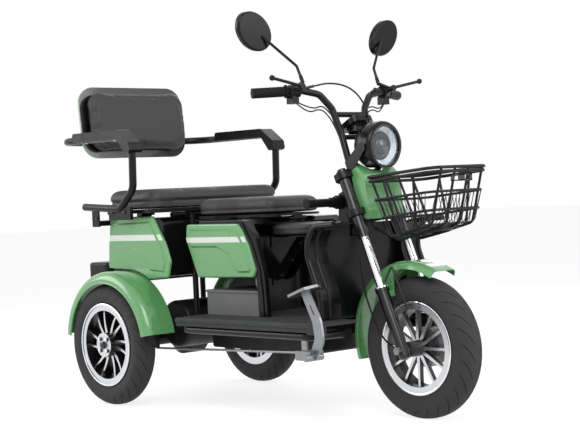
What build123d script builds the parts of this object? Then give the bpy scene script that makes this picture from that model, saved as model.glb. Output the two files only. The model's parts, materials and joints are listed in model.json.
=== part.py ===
"""Electric tricycle with a rider's saddle, a passenger bench and a front basket.

Millimetres. +X points forward, +Y to the vehicle's left, +Z up. The origin is on the ground,
under the middle of the overall length and width.
"""
from build123d import *
import os
from math import cos, radians, sin

os.makedirs("parts", exist_ok=True)

# ---- driving dimensions ------------------------------------------------------------------
wheelbase = 1156
rear_axle_x = -521
rear_track = 672

front_tyre_radius = 216
front_tyre_width = 90
rear_tyre_radius = 210
rear_tyre_width = 83
bead_radius = 127
flange_radius = 144
rim_wall = 5
rim_half_width = 30
front_hub_radius = 24
front_spoke_count = 12
drum_radius = 62
rear_hub_radius = 42
rear_hub_half = 42
rear_spoke_pairs = 6
spoke_waist = 0.8
stud_circle = 28
stud_radius = 7
stud_count = 4
front_axle_radius = 7.5
rear_axle_radius = 12
running_clearance = 0.05
seating_gap = 0.3

rake_angle = 22.5
fork_offset = 35
fork_half_spacing = 90
slider_radius = 19
stanchion_radius = 13.5
cover_radius = 18.5
slider_length = 200
chrome_length = 170
fork_height = 600
stem_radius = 15
head_tube_radius = 26
lower_yoke_height = 440
upper_yoke_height = 566
yoke_thickness = 20

bar_radius = 11
grip_radius = 16
grip_length = 112

deck_top = 313
deck_thickness = 28
deck_half_width = 335
deck_rear = -160
deck_to_axle = 111
deck_groove_pitch = 24
deck_groove_depth = 2
well_half_width = 165
well_to_axle = 263
shield_half_width = 245
shield_wall = 6
rail_half_spacing = 185
rail_size = 30

body_half_width = 215
body_wall = 4
seat_box_rear = -165
seat_box_floor = 436
seat_box_top = 626
recess_half_width = 206
recess_back = -5
recess_front = 220
saddle_length = 352
saddle_lift = 6
saddle_base_thickness = 8
saddle_cushion_thickness = 56

rear_box_rear = -592
rear_box_front = -290
rear_box_half_width = 270
rear_box_floor = 440
rear_box_top = 638
bench_half_width = 298
bench_lift = 22
bench_base_thickness = 12
bench_cushion_thickness = 68
bench_overhang = 16
panel_thickness = 9
panel_relief = 5

arm_tube_radius = 13
arm_half_spacing = 326
arm_height = 268
arm_front = -369
backrest_lean = 6
backrest_drop = 48
backrest_height = 240
backrest_half_width = 225
backrest_setback = 133
cushion_thickness = 50
shell_thickness = 14

fender_wall = 3
rear_fender_gap = 40

fender_side_gap = 5.5
lip_radius = 3.5
edging_radius = 3.5
front_fender_gap = 23
front_fender_half_width = 56

headlight_radius = 77
headlight_depth = 105

hinge_pin_radius = 4
hinge_knuckle_radius = 7

# ---- stations worked out from them -------------------------------------------------------
front_axle_x = rear_axle_x + wheelbase
rear_wheel_y = rear_track / 2
barrel_inner = bead_radius - rim_wall
deck_bottom = deck_top - deck_thickness
rail_top = deck_bottom
deck_front = front_axle_x - deck_to_axle
well_back = front_axle_x - well_to_axle
saddle_base_height = seat_box_top + saddle_lift
bench_base_height = rear_box_top + bench_lift
bench_cushion_foot = bench_base_height + bench_base_thickness
bench_rear = rear_box_rear - bench_overhang
bench_front = rear_box_front - bench_overhang + 4
arm_top = bench_base_height + arm_height
backrest_foot = arm_top - backrest_drop
backrest_front = bench_rear - backrest_setback
rear_fender_radius = rear_tyre_radius + rear_fender_gap
rear_fender_outer = rear_wheel_y + rear_tyre_width / 2 + fender_side_gap
front_fender_radius = front_tyre_radius + front_fender_gap
rake_sin = sin(radians(rake_angle))
rake_cos = cos(radians(rake_angle))
SIDES = {"right": -1, "left": 1}

# The fork's own frame: local x is square to the legs and forward, local z runs up them.
fork_plane = Plane(
    origin=(front_axle_x, 0, front_tyre_radius),
    x_dir=(rake_cos, 0, rake_sin),
    z_dir=(-rake_sin, 0, rake_cos),
)


def fork_point(across, y, along):
    """Give the place of a point that is stated in the fork's own frame."""
    return fork_plane.from_local_coords(Vector(across, y, along))


def radial_plane(x, y, z, angle=0):
    """Give a plane whose local x is the axle (+Y) and whose local y leans rearward by angle."""
    out_x = -sin(radians(angle))
    out_z = cos(radians(angle))
    return Plane(origin=(x, y, z), x_dir=(0, 1, 0), z_dir=(out_z, 0, -out_x))


def side_plane(y):
    """Give a plane at y that faces -Y, with local x forward and local y up."""
    return Plane(origin=(0, y, 0), x_dir=(1, 0, 0), z_dir=(0, -1, 0))


def sweep_tube(points, bends, radius, mode=Mode.ADD):
    """Sweep a round tube along straight runs joined by arcs, into the part being built."""
    with BuildLine() as route:
        FilletPolyline(*points, radius=bends)
    with BuildSketch(Plane(origin=route.line @ 0, z_dir=route.line % 0)) as section:
        Circle(radius)
    sweep(section.sketch, path=route.line, mode=mode)


def rod(start, end, radius, mode=Mode.ADD):
    """Extrude a round rod from start to end, into the part being built."""
    run = Vector(*end) - Vector(*start)
    with BuildSketch(Plane(origin=start, z_dir=run)) as section:
        Circle(radius)
    extrude(section.sketch, amount=run.length, mode=mode)


def block(low, high, mode=Mode.ADD):
    """Fill the box between two opposite corners, into the part being built."""
    size = [b - a for a, b in zip(low, high)]
    middle = [(a + b) / 2 for a, b in zip(low, high)]
    with Locations(tuple(middle)):
        Box(*size, mode=mode)


def save(built, name):
    """Label a finished piece and write its STEP file."""
    built.part.label = name
    export_step(built.part, f"parts/{name}.step")


# ---- wheels ------------------------------------------------------------------------------
def make_tyre(x, y, radius, width):
    """Turn a tyre about its axle: flat beads between the flanges, round shoulders and crown."""
    half = width / 2
    shoulder = flange_radius + 0.5 * (radius - flange_radius)
    with BuildPart() as tyre:
        with BuildSketch(radial_plane(x, y, radius)):
            with BuildLine():
                Line((0, bead_radius), (rim_half_width, bead_radius))
                Line((rim_half_width, bead_radius), (rim_half_width, flange_radius))
                ThreePointArc(
                    (rim_half_width, flange_radius),
                    (half - 3, (flange_radius + shoulder) / 2),
                    (half, shoulder),
                )
                ThreePointArc((half, shoulder), (half * 0.74, radius - 10), (0, radius))
                mirror(about=Plane.YZ)
            make_face()
        revolve(axis=Axis((x, y, radius), (0, 1, 0)))
    return tyre


def wheel_barrel(x, y, radius, hub_radius, hub_low, hub_high):
    """Turn a wheel's flanged barrel and its hub, into the part being built."""
    with BuildSketch(radial_plane(x, y, radius)) as section:
        with BuildLine():
            Polyline(
                (0, barrel_inner),
                (rim_half_width + rim_wall, barrel_inner - 3),
                (rim_half_width + rim_wall, flange_radius),
                (rim_half_width, flange_radius),
                (rim_half_width, bead_radius),
                (0, bead_radius),
            )
            mirror(about=Plane.YZ)
        make_face()
        with Locations(((hub_low + hub_high) / 2, hub_radius / 2)):
            Rectangle(hub_high - hub_low, hub_radius)
    revolve(section.sketch, axis=Axis((x, y, radius), (0, 1, 0)))


def wheel_arm(x, y, radius, angle, root, tip, drift, root_width, tip_width, low, high):
    """Extrude one bowed spoke from the hub to the barrel; drift is how far its tip swings round."""
    outward = Vector(cos(radians(angle)), 0, sin(radians(angle)))
    face = Plane(origin=(x, y + low, radius), x_dir=outward, z_dir=(0, 1, 0))
    middle = (root + tip) / 2
    waist = (root_width + tip_width) / 2 - 2 * spoke_waist
    with BuildSketch(face) as section:
        with BuildLine():
            ThreePointArc(
                (root, -root_width / 2), (middle, drift * 0.2 - waist / 2), (tip, drift - tip_width / 2)
            )
            Line((tip, drift - tip_width / 2), (tip, drift + tip_width / 2))
            ThreePointArc(
                (tip, drift + tip_width / 2), (middle, drift * 0.2 + waist / 2), (root, root_width / 2)
            )
            Line((root, root_width / 2), (root, -root_width / 2))
        make_face()
    extrude(section.sketch, amount=high - low)


def wheel_bore(x, y, radius, bore):
    """Cut the bore that runs on the axle, out of the part being built."""
    with BuildSketch(side_plane(y)) as section:
        with Locations((x, radius)):
            Circle(bore + running_clearance)
    extrude(section.sketch, amount=flange_radius, both=True, mode=Mode.SUBTRACT)


save(make_tyre(front_axle_x, 0, front_tyre_radius, front_tyre_width), "front_tyre")
front_hub_half = fork_half_spacing - slider_radius - 1
spoke_tip = barrel_inner + 2
with BuildPart() as front_wheel:
    wheel_barrel(front_axle_x, 0, front_tyre_radius, front_hub_radius, -front_hub_half, front_hub_half)
    with BuildSketch(side_plane(8)):
        with Locations((front_axle_x, front_tyre_radius)):
            Circle(drum_radius)
    extrude(amount=-38)
    fillet(front_wheel.edges().filter_by(GeomType.CIRCLE).group_by(Axis.Y)[-3], 4)
    for k in range(front_spoke_count):
        wheel_arm(front_axle_x, 0, front_tyre_radius, k * 360 / front_spoke_count,
                  front_hub_radius - 2, spoke_tip, 0, 13, 8, -24, -8)
    wheel_bore(front_axle_x, 0, front_tyre_radius, front_axle_radius)
save(front_wheel, "front_wheel")

for side, sign in SIDES.items():
    save(
        make_tyre(rear_axle_x, sign * rear_wheel_y, rear_tyre_radius, rear_tyre_width),
        f"rear_tyre_{side}",
    )
    with BuildPart() as rear_wheel:
        wheel_barrel(rear_axle_x, sign * rear_wheel_y, rear_tyre_radius, rear_hub_radius,
                     -rear_hub_half, rear_hub_half)
        for k in range(rear_spoke_pairs):
            for lean in (-1, 1):
                wheel_arm(rear_axle_x, sign * rear_wheel_y, rear_tyre_radius,
                          (k + lean * 0.2) * 360 / rear_spoke_pairs, rear_hub_radius - 3, spoke_tip,
                          20 + 3 * lean, 12, 8, -18, 24)
        with BuildSketch(side_plane(sign * (rear_wheel_y + rear_hub_half))):
            with Locations((rear_axle_x, rear_tyre_radius)):
                with PolarLocations(stud_circle, stud_count, start_angle=45):
                    Circle(stud_radius)
        extrude(amount=-sign * 6)
        wheel_bore(rear_axle_x, sign * rear_wheel_y, rear_tyre_radius, rear_axle_radius)
    save(rear_wheel, f"rear_wheel_{side}")

# ---- rear axle: beam, differential and the stub shafts that carry the wheels --------------
axle_beam_radius = 24
hub_inner_y = rear_wheel_y - rear_hub_half
with BuildPart() as rear_axle:
    with BuildSketch(radial_plane(rear_axle_x, 0, rear_tyre_radius)):
        with BuildLine():
            Polyline(
                (0, 0),
                (0, 66),
                (38, 66),
                (62, axle_beam_radius),
                (hub_inner_y - 26, axle_beam_radius),
                (hub_inner_y - 26, 44),
                (hub_inner_y - 1, 44),
                (hub_inner_y - 1, rear_axle_radius),
                (rear_wheel_y + rear_hub_half + 2, rear_axle_radius),
                (rear_wheel_y + rear_hub_half + 2, 0),
                close=True,
            )
        make_face()
    revolve(axis=Axis((rear_axle_x, 0, rear_tyre_radius), (0, 1, 0)))
    mirror(about=Plane.XZ)
    for sign in SIDES.values():
        spring_y = sign * rail_half_spacing
        block(
            (rear_axle_x - 35, spring_y - 22, rear_tyre_radius - 30),
            (rear_axle_x + 35, spring_y + 22, rail_top - rail_size),
        )
save(rear_axle, "rear_axle")

motor_radius = 82
motor_x = rear_axle_x + 140
with BuildPart() as drive_motor:
    with BuildSketch(Plane(origin=(motor_x, 0, 268), x_dir=(1, 0, 0), z_dir=(0, -1, 0))):
        Circle(motor_radius)
    extrude(amount=rail_half_spacing - rail_size / 2 - seating_gap, both=True)
    fillet(drive_motor.edges().filter_by(GeomType.CIRCLE), 12)
save(drive_motor, "drive_motor")

# ---- frame: rails under the deck, head tube, down tube and the bench's carriers -----------
rail_rear = rear_axle_x - 110
rail_front = deck_front - 24
arm_plate_y = arm_half_spacing - arm_tube_radius
bench_hinge_x = bench_rear - 4
bench_hinge_z = bench_base_height - hinge_knuckle_radius - 1
carrier_half_width = 150
front_post_x = rear_box_front + 10 + seating_gap
rear_post_x = bench_hinge_x - 8
bench_rest_x = bench_front - 16
bench_rest_z = bench_base_height - seating_gap - 10
down_tube_x = well_back - 23
down_tube_radius = 16
with BuildPart() as frame:
    for sign in SIDES.values():
        inner = sign * rail_half_spacing
        block(
            (rail_rear, inner - rail_size / 2, rail_top - rail_size),
            (rail_front, inner + rail_size / 2, rail_top),
        )
        rod((front_post_x, sign * carrier_half_width, rail_top - 15),
            (front_post_x, sign * carrier_half_width, bench_rest_z), 10)
        rod((front_post_x, sign * carrier_half_width, bench_rest_z - 2),
            (bench_rest_x, sign * carrier_half_width, bench_rest_z), 8)
        rod((rear_post_x, sign * carrier_half_width, rail_top - 15),
            (rear_post_x, sign * carrier_half_width, rear_box_top - 8), 10)
    for x in (rail_rear + 15, front_post_x, -120, 160, down_tube_x):
        block((x - 15, -rail_half_spacing, rail_top - rail_size), (x + 15, rail_half_spacing, rail_top))
    rod((bench_rest_x, -carrier_half_width - 60, bench_rest_z),
        (bench_rest_x, carrier_half_width + 60, bench_rest_z), 10)
    rod((rear_post_x, -arm_plate_y, rear_box_top - 8), (rear_post_x, arm_plate_y, rear_box_top - 8), 10)
    sweep_tube(
        [fork_point(-fork_offset, 0, 500), (down_tube_x, 0, 575), (down_tube_x, 0, rail_top - 15)],
        60,
        down_tube_radius,
    )
    with BuildSketch(fork_plane.offset(lower_yoke_height + yoke_thickness + 1)):
        with Locations((-fork_offset, 0)):
            Circle(head_tube_radius)
    extrude(amount=upper_yoke_height - lower_yoke_height - yoke_thickness - 2)
    with BuildSketch(fork_plane.offset(lower_yoke_height + yoke_thickness)):
        with Locations((-fork_offset, 0)):
            Circle(stem_radius + running_clearance)
    extrude(amount=upper_yoke_height - lower_yoke_height - yoke_thickness, mode=Mode.SUBTRACT)
    for y in (-110, 110):
        block((bench_hinge_x - 8, y - 8, rear_box_top - 8), (bench_hinge_x + 7, y + 8, bench_hinge_z + 7))
        with BuildSketch(side_plane(y)):
            with Locations((bench_hinge_x, bench_hinge_z)):
                Circle(hinge_pin_radius)
        extrude(amount=30, both=True)
save(frame, "frame")

edge_tube_radius = 12
edge_tube_bend = 50
edge_tube_z = deck_bottom - edge_tube_radius


def edge_tube_points(sign):
    """Give the corners of one side's tube under the deck's edge."""
    inner_y = sign * (rail_half_spacing + rail_size / 2)
    outer_y = sign * (deck_half_width - 18)
    return [
        (deck_rear + 4, inner_y, edge_tube_z),
        (deck_rear + 4, outer_y, edge_tube_z),
        (deck_front - 30, outer_y, edge_tube_z),
        (deck_front - 30, inner_y, edge_tube_z),
    ]


# ---- deck with its grooves, edge mouldings and end caps, and the tube round its edge ---------
deck_skin = 10
groove_half_count = int((deck_half_width - 20) / deck_groove_pitch)
with BuildPart() as footboard:
    with BuildSketch(Plane(origin=(deck_rear, 0, 0), x_dir=(0, 1, 0), z_dir=(1, 0, 0))):
        with Locations((0, deck_top - deck_thickness / 2)):
            RectangleRounded(2 * deck_half_width, deck_thickness, 5)
        with Locations((0, deck_bottom + (deck_thickness - deck_skin) / 2 - 1)):
            Rectangle(2 * deck_half_width - 12, deck_thickness - deck_skin + 2, mode=Mode.SUBTRACT)
        with Locations((-deck_half_width, deck_top - 9), (deck_half_width, deck_top - 9)):
            RectangleRounded(8, 12, 3)
    extrude(amount=deck_front - deck_rear)
    with BuildSketch(Plane(origin=(deck_rear, 0, 0), x_dir=(0, 1, 0), z_dir=(1, 0, 0))):
        with Locations((0, deck_top)):
            with GridLocations(deck_groove_pitch, 1, 2 * groove_half_count + 1, 1):
                Rectangle(deck_groove_pitch / 3, 2 * deck_groove_depth)
    extrude(amount=deck_front - deck_rear, mode=Mode.SUBTRACT)
    with BuildSketch(Plane.XY.offset(deck_bottom - 4)):
        with GridLocations(1, 2 * (deck_half_width - 18), 1, 2):
            with Locations((deck_front - 22, 0)):
                RectangleRounded(48, 46, 8)
    extrude(amount=deck_thickness + 6)
    block((well_back, -well_half_width - 6, deck_bottom - 1), (deck_front + 3, well_half_width + 6, deck_top + 1),
          mode=Mode.SUBTRACT)
    with BuildSketch(Plane.XY.offset(deck_bottom - 5)):
        with Locations((down_tube_x, 0)):
            Circle(down_tube_radius + seating_gap)
    extrude(amount=deck_thickness + 6, mode=Mode.SUBTRACT)
    for sign in SIDES.values():
        sweep_tube(edge_tube_points(sign), edge_tube_bend, edge_tube_radius + seating_gap, mode=Mode.SUBTRACT)
save(footboard, "footboard")

with BuildPart() as footboard_rail:
    for sign in SIDES.values():
        sweep_tube(edge_tube_points(sign), edge_tube_bend, edge_tube_radius)
save(footboard_rail, "footboard_rail")

# ---- under-floor boxes --------------------------------------------------------------------
floor_box_half_width = 150
with BuildPart() as floor_box:
    block((-200, -floor_box_half_width, 195), (down_tube_x - 19, floor_box_half_width, rail_top - rail_size))
    fillet(floor_box.edges().filter_by(Axis.Y), 10)
save(floor_box, "floor_box")

battery_half_width = 205
battery_top = deck_top + 82


def recess_outline(growth):
    """Draw the plan of the hollow in the seat box's front, wider by growth, into a sketch."""
    half = recess_half_width + growth
    with BuildLine() as plan:
        FilletPolyline(
            (recess_front, half),
            (recess_back + 95, half - 16),
            (recess_back - growth, half - 106),
            (recess_back - growth, -half + 106),
            (recess_back + 95, -half + 16),
            (recess_front, -half),
            close=True,
            radius=[0.1, 70, 70, 70, 70, 0.1],
        )
    return make_face(plan.line)


with BuildPart() as battery_box:
    block((-150, -battery_half_width, deck_top), (112, battery_half_width, battery_top - 7))
    block((-154, -battery_half_width - 4, battery_top - 7), (116, battery_half_width + 4, battery_top))
    with BuildSketch(Plane.XY.offset(deck_top)):
        recess_outline(body_wall + 1)
    extrude(amount=battery_top - deck_top, dir=(0, 0, 1), mode=Mode.SUBTRACT)
save(battery_box, "battery_box")

# ---- seat box under the rider's saddle, hollowed in front for the child's seat --------------
saddle_hinge_x = 90
saddle_hinge_z = seat_box_top - 4
recess_top = seat_box_top - 15
pillar_foot = (166, deck_top)
pillar_knee = (160, deck_top + 125)
pillar_shoulder = (120, seat_box_top - 50)
with BuildPart() as seat_box:
    with BuildSketch(Plane.XY.offset(deck_top)):
        recess_outline(body_wall)
    extrude(amount=seat_box_floor - deck_top, dir=(0, 0, 1))
    block((118, -300, deck_top - 1), (recess_front + 1, 300, seat_box_floor + 1), mode=Mode.SUBTRACT)
    with BuildSketch(side_plane(0)):
        with BuildLine():
            FilletPolyline(
                (seat_box_rear, seat_box_floor),
                (117, seat_box_floor),
                (126, deck_top),
                pillar_foot,
                pillar_knee,
                pillar_shoulder,
                (58, seat_box_top),
                (seat_box_rear, seat_box_top),
                close=True,
                radius=[3, 3, 3, 3, 90, 40, 16, 3],
            )
        make_face()
    extrude(amount=body_half_width, both=True)
    fillet(seat_box.faces().sort_by(Axis.Y)[0].edges().group_by(Axis.X)[-1], 3)
    fillet(seat_box.faces().sort_by(Axis.Y)[-1].edges().group_by(Axis.X)[-1], 3)
    with BuildSketch(Plane.XY.offset(deck_top - 1)):
        recess_outline(0)
    extrude(amount=recess_top - deck_top + 1, dir=(0, 0, 1), mode=Mode.SUBTRACT)
    block(
        (seat_box_rear + body_wall, -body_half_width + body_wall, seat_box_floor + body_wall),
        (recess_back - body_wall, body_half_width - body_wall, seat_box_top + 1),
        mode=Mode.SUBTRACT,
    )
    for sign in SIDES.values():
        with BuildSketch(side_plane(sign * (body_half_width + edging_radius))):
            with BuildLine() as bead_line:
                FilletPolyline(
                    (pillar_foot[0] - 18, deck_top + edging_radius),
                    (pillar_foot[0] - 20, deck_top + 75),
                    (pillar_knee[0] - 23, deck_top + 152),
                    (pillar_shoulder[0] - 16, seat_box_top - 78),
                    (56, seat_box_top - edging_radius - 1),
                    (28, seat_box_top - edging_radius - 1),
                    radius=[60, 60, 60, 16],
                )
                offset(amount=edging_radius, side=Side.BOTH)
            make_face()
        extrude(amount=sign * (edging_radius + 1))
    block((56, -36, recess_top), (saddle_hinge_x, 36, saddle_hinge_z + 3))
    with BuildSketch(side_plane(0)):
        with Locations((saddle_hinge_x, saddle_hinge_z)):
            Circle(hinge_knuckle_radius)
    extrude(amount=36, both=True)
    block((saddle_hinge_x - 12, -20, recess_top + 1), (saddle_hinge_x + 12, 20, seat_box_top + 14),
          mode=Mode.SUBTRACT)
    with BuildSketch(side_plane(0)):
        with Locations((saddle_hinge_x, saddle_hinge_z)):
            Circle(hinge_pin_radius)
    extrude(amount=30, both=True)
save(seat_box, "seat_box")

saddle_front = saddle_hinge_x + 10
saddle_rear = saddle_front - saddle_length
with BuildPart() as saddle_base:
    with BuildSketch(Plane.XY.offset(saddle_base_height)):
        with BuildLine():
            FilletPolyline(
                (saddle_rear, -170),
                (saddle_rear + 110, -166),
                (saddle_rear + 190, -128),
                (saddle_front, -112),
                (saddle_front, 112),
                (saddle_rear + 190, 128),
                (saddle_rear + 110, 166),
                (saddle_rear, 170),
                close=True,
                radius=40,
            )
        make_face()
    extrude(amount=saddle_base_thickness)
    with BuildSketch(side_plane(0)):
        with Locations((saddle_hinge_x, saddle_hinge_z)):
            Circle(hinge_knuckle_radius)
    extrude(amount=19, both=True)
    block((saddle_hinge_x - 5, -19, saddle_hinge_z), (saddle_hinge_x + 7, 19, saddle_base_height))
    with BuildSketch(side_plane(0)):
        with Locations((saddle_hinge_x, saddle_hinge_z)):
            Circle(hinge_pin_radius + running_clearance)
    extrude(amount=25, both=True, mode=Mode.SUBTRACT)
    for sign in SIDES.values():
        block((saddle_rear + 120, sign * 100 - 10, seat_box_top + seating_gap),
              (saddle_rear + 140, sign * 100 + 10, saddle_base_height))
save(saddle_base, "saddle_base")

with BuildPart() as saddle_cushion:
    with BuildSketch(Plane.XY.offset(saddle_base_height + saddle_base_thickness)):
        with BuildLine():
            FilletPolyline(
                (saddle_rear - 2, -176),
                (saddle_rear + 110, -172),
                (saddle_rear + 190, -134),
                (saddle_front + 3, -118),
                (saddle_front + 3, 118),
                (saddle_rear + 190, 134),
                (saddle_rear + 110, 172),
                (saddle_rear - 2, 176),
                close=True,
                radius=42,
            )
        make_face()
    extrude(amount=saddle_cushion_thickness)
    fillet(saddle_cushion.faces().sort_by(Axis.Z)[-1].edges(), 22)
    fillet(saddle_cushion.faces().sort_by(Axis.Z)[0].edges(), 8)
save(saddle_cushion, "saddle_cushion")

# ---- child's round seat in the recess, on its folding bracket -----------------------------
child_seat_x = 113
child_seat_radius = 103
child_seat_z = 566
hinge_plate_half = 38
with BuildPart() as child_seat:
    with BuildSketch(Plane(origin=(child_seat_x, 0, child_seat_z))):
        Circle(child_seat_radius)
    extrude(amount=40)
    fillet(child_seat.edges().filter_by(GeomType.CIRCLE).sort_by(Axis.Z)[-1], 12)
save(child_seat, "child_seat")

with BuildPart() as child_seat_bracket:
    with BuildSketch(Plane(origin=(child_seat_x, 0, child_seat_z - 4))):
        Circle(child_seat_radius - 14)
    extrude(amount=4)
    block((recess_back, -hinge_plate_half, child_seat_z - 40),
          (recess_back + 5, hinge_plate_half, child_seat_z))
    block((recess_back, -hinge_plate_half, child_seat_z - 4),
          (child_seat_x, hinge_plate_half, child_seat_z))
    for y in (-22, 22):
        with BuildSketch(side_plane(y)):
            with BuildLine():
                FilletPolyline(
                    (recess_back, 442), (recess_back, 412), (34, 424), (146, 540),
                    (146, child_seat_z - 2), (116, child_seat_z - 2),
                    close=True,
                    radius=[1, 1, 20, 12, 1, 1],
                )
            make_face()
        extrude(amount=3, both=True)
    block((recess_back, -hinge_plate_half, 400), (recess_back + 5, hinge_plate_half, 452))
save(child_seat_bracket, "child_seat_bracket")

# ---- rear storage box under the bench -----------------------------------------------------
with BuildPart() as rear_box:
    block(
        (rear_box_rear, -rear_box_half_width, rear_box_floor),
        (rear_box_front, rear_box_half_width, rear_box_top),
    )
    fillet(rear_box.edges().filter_by(Axis.Y), 24)
    block(
        (rear_box_rear + body_wall, -rear_box_half_width + body_wall, rear_box_floor + body_wall),
        (rear_box_front - body_wall, rear_box_half_width - body_wall, rear_box_top + 1),
        mode=Mode.SUBTRACT,
    )
save(rear_box, "rear_box")

fender_centre_x = rear_axle_x + 20

# ---- the four coloured side panels --------------------------------------------------------
rear_panel_outline = [
    (-611, 470), (-604, 552), (-588, 644), (-424, 650), (-338, 648),
    (-273, 551), (-250, 494), (-266, 440), (-402, 431), (-520, 466),
]
rear_relief_outline = [
    (-596, 470), (-588, 552), (-572, 628), (-352, 632), (-290, 545), (-272, 492), (-284, 456), (-520, 470),
]
rear_scoop_outline = [
    (-640, 440), (-640, 545), (-470, 545), (-400, 520), (-352, 462), (-310, 440), (-310, 400),
]
front_panel_outline = [
    (-230, 565), (-222, 616), (46, 614), (62, 597), (94, 546), (125, 462), (113, 440), (-172, 437),
]
front_relief_outline = [
    (-212, 566), (-206, 600), (34, 598), (50, 584), (80, 540), (108, 468), (100, 454), (-160, 451),
]
front_scoop_outline = [
    (-240, 430), (-240, 545), (-60, 545), (0, 520), (36, 470), (60, 452), (60, 430),
]


def side_panel(sign, y, outline, relief, scoop):
    """Build a moulded side panel: a rim, a raised field inside it and a scooped lower corner."""
    with BuildPart() as panel:
        with BuildSketch(side_plane(sign * y)):
            with BuildLine():
                FilletPolyline(*outline, close=True, radius=10)
            make_face()
            with Locations((fender_centre_x, rear_tyre_radius)):
                Circle(rear_fender_radius + fender_wall + 2, mode=Mode.SUBTRACT)
        extrude(amount=-sign * panel_thickness)
        fillet(panel.faces().sort_by(Axis.Y)[0 if sign < 0 else -1].edges(), 5)
        with BuildSketch(side_plane(sign * (y + panel_thickness - 1))) as field:
            with BuildLine():
                FilletPolyline(*relief, close=True, radius=9)
            make_face()
            with Locations((fender_centre_x, rear_tyre_radius)):
                Circle(rear_fender_radius + 22, mode=Mode.SUBTRACT)
        extrude(field.sketch, amount=-sign * (panel_relief + 1), taper=50)
        with BuildSketch(side_plane(sign * (y + panel_thickness + panel_relief + 1))) as cut:
            with BuildLine():
                FilletPolyline(*scoop, close=True, radius=14)
            make_face()
        extrude(cut.sketch, amount=sign * (panel_relief + 1), taper=55, mode=Mode.SUBTRACT)
    return panel


for side, sign in SIDES.items():
    save(
        side_panel(sign, rear_box_half_width, rear_panel_outline, rear_relief_outline, rear_scoop_outline),
        f"rear_panel_{side}",
    )
    save(
        side_panel(sign, body_half_width, front_panel_outline, front_relief_outline, front_scoop_outline),
        f"front_panel_{side}",
    )

# ---- rear fenders and the tail ------------------------------------------------------------
for side, sign in SIDES.items():
    with BuildPart() as rear_fender:
        with BuildSketch(radial_plane(fender_centre_x, 0, rear_tyre_radius, 83)):
            with BuildLine() as skin:
                FilletPolyline(
                    (sign * (rear_box_half_width + seating_gap), rear_fender_radius - 3),
                    (sign * (rear_box_half_width + 60), rear_fender_radius + 1),
                    (sign * (rear_fender_outer - 2), rear_fender_radius),
                    (sign * rear_fender_outer, rear_fender_radius - 34),
                    radius=[40, 26],
                )
                offset(amount=fender_wall, side=Side.LEFT if sign > 0 else Side.RIGHT)
            make_face()
            with Locations((sign * (rear_fender_outer + 1), rear_fender_radius - 34)):
                Circle(lip_radius)
        revolve(axis=Axis((fender_centre_x, 0, rear_tyre_radius), (0, 1, 0)), revolution_arc=163)
    save(rear_fender, f"rear_fender_{side}")

tail_top = rear_box_floor + 46
with BuildPart() as tail_bumper:
    block((-802, -240, tail_top - 78), (-672, 240, tail_top))
    fillet(tail_bumper.edges().filter_by(Axis.Z), 24)
    fillet(tail_bumper.faces().sort_by(Axis.Z)[-1].edges(), 10)
    for sign in SIDES.values():
        block((-680, sign * 75 - 15, tail_top - 36), (rear_box_rear, sign * 75 + 15, tail_top - 10))
save(tail_bumper, "tail_bumper")

# ---- bench ---------------------------------------------------------------------------------
with BuildPart() as bench_base:
    with BuildSketch(Plane.XY.offset(bench_base_height)):
        with Locations(((bench_rear + bench_front) / 2, 0)):
            RectangleRounded(bench_front - bench_rear - 6, 2 * bench_half_width - 6, 38)
    extrude(amount=bench_base_thickness)
    for y in (-110, 110):
        for shift in (-19, 19):
            with BuildSketch(side_plane(y + shift)):
                with Locations((bench_hinge_x, bench_hinge_z)):
                    Circle(hinge_knuckle_radius)
            extrude(amount=10, both=True)
            block(
                (bench_hinge_x, y + shift - 10, bench_hinge_z - 2),
                (bench_rear + 20, y + shift + 10, bench_base_height),
            )
            with BuildSketch(side_plane(y + shift)):
                with Locations((bench_hinge_x, bench_hinge_z)):
                    Circle(hinge_pin_radius + running_clearance)
            extrude(amount=12, both=True, mode=Mode.SUBTRACT)
save(bench_base, "bench_base")

with BuildPart() as bench_cushion:
    with BuildSketch(Plane.XY.offset(bench_cushion_foot)):
        with Locations(((bench_rear + bench_front) / 2, 0)):
            RectangleRounded(bench_front - bench_rear, 2 * bench_half_width, 42)
    extrude(amount=bench_cushion_thickness)
    fillet(bench_cushion.faces().sort_by(Axis.Z)[-1].edges(), 26)
    fillet(bench_cushion.faces().sort_by(Axis.Z)[0].edges(), 8)
save(bench_cushion, "bench_cushion")

# ---- backrest ------------------------------------------------------------------------------
lean_sin = sin(radians(backrest_lean))
lean_cos = cos(radians(backrest_lean))
backrest_plane = Plane(
    origin=(backrest_front - cushion_thickness, 0, backrest_foot),
    x_dir=(0, 1, 0),
    z_dir=(lean_cos, 0, lean_sin),
)
backrest_axis = Axis(backrest_plane.origin, backrest_plane.z_dir)
with BuildPart() as backrest_cushion:
    with BuildSketch(backrest_plane):
        with Locations((0, backrest_height / 2)):
            RectangleRounded(2 * backrest_half_width, backrest_height, 58)
    extrude(amount=cushion_thickness)
    fillet(backrest_cushion.faces().sort_by(backrest_axis)[-1].edges(), 20)
save(backrest_cushion, "backrest_cushion")

with BuildPart() as backrest_shell:
    with BuildSketch(backrest_plane):
        with Locations((0, backrest_height / 2)):
            RectangleRounded(2 * backrest_half_width + 24, backrest_height + 26, 68)
    extrude(amount=-shell_thickness)
    fillet(backrest_shell.faces().sort_by(backrest_axis)[0].edges(), 8)
save(backrest_shell, "backrest_shell")

# ---- arm rests: one bent tube round the seat, and the two pads -----------------------------
arm_loop_x = backrest_front - cushion_thickness - shell_thickness - 33
arm_route = [
    (-670, 1, bench_base_height + 30),
    (-455, 1, bench_base_height + 18),
    (arm_front - 6, 1, bench_base_height + 85),
    (arm_front, 1, arm_top - 35),
    (arm_front - 50, 1, arm_top),
    (arm_loop_x, 1, arm_top),
]
arm_bends = [45, 45, 30, 40, 110]


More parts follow.
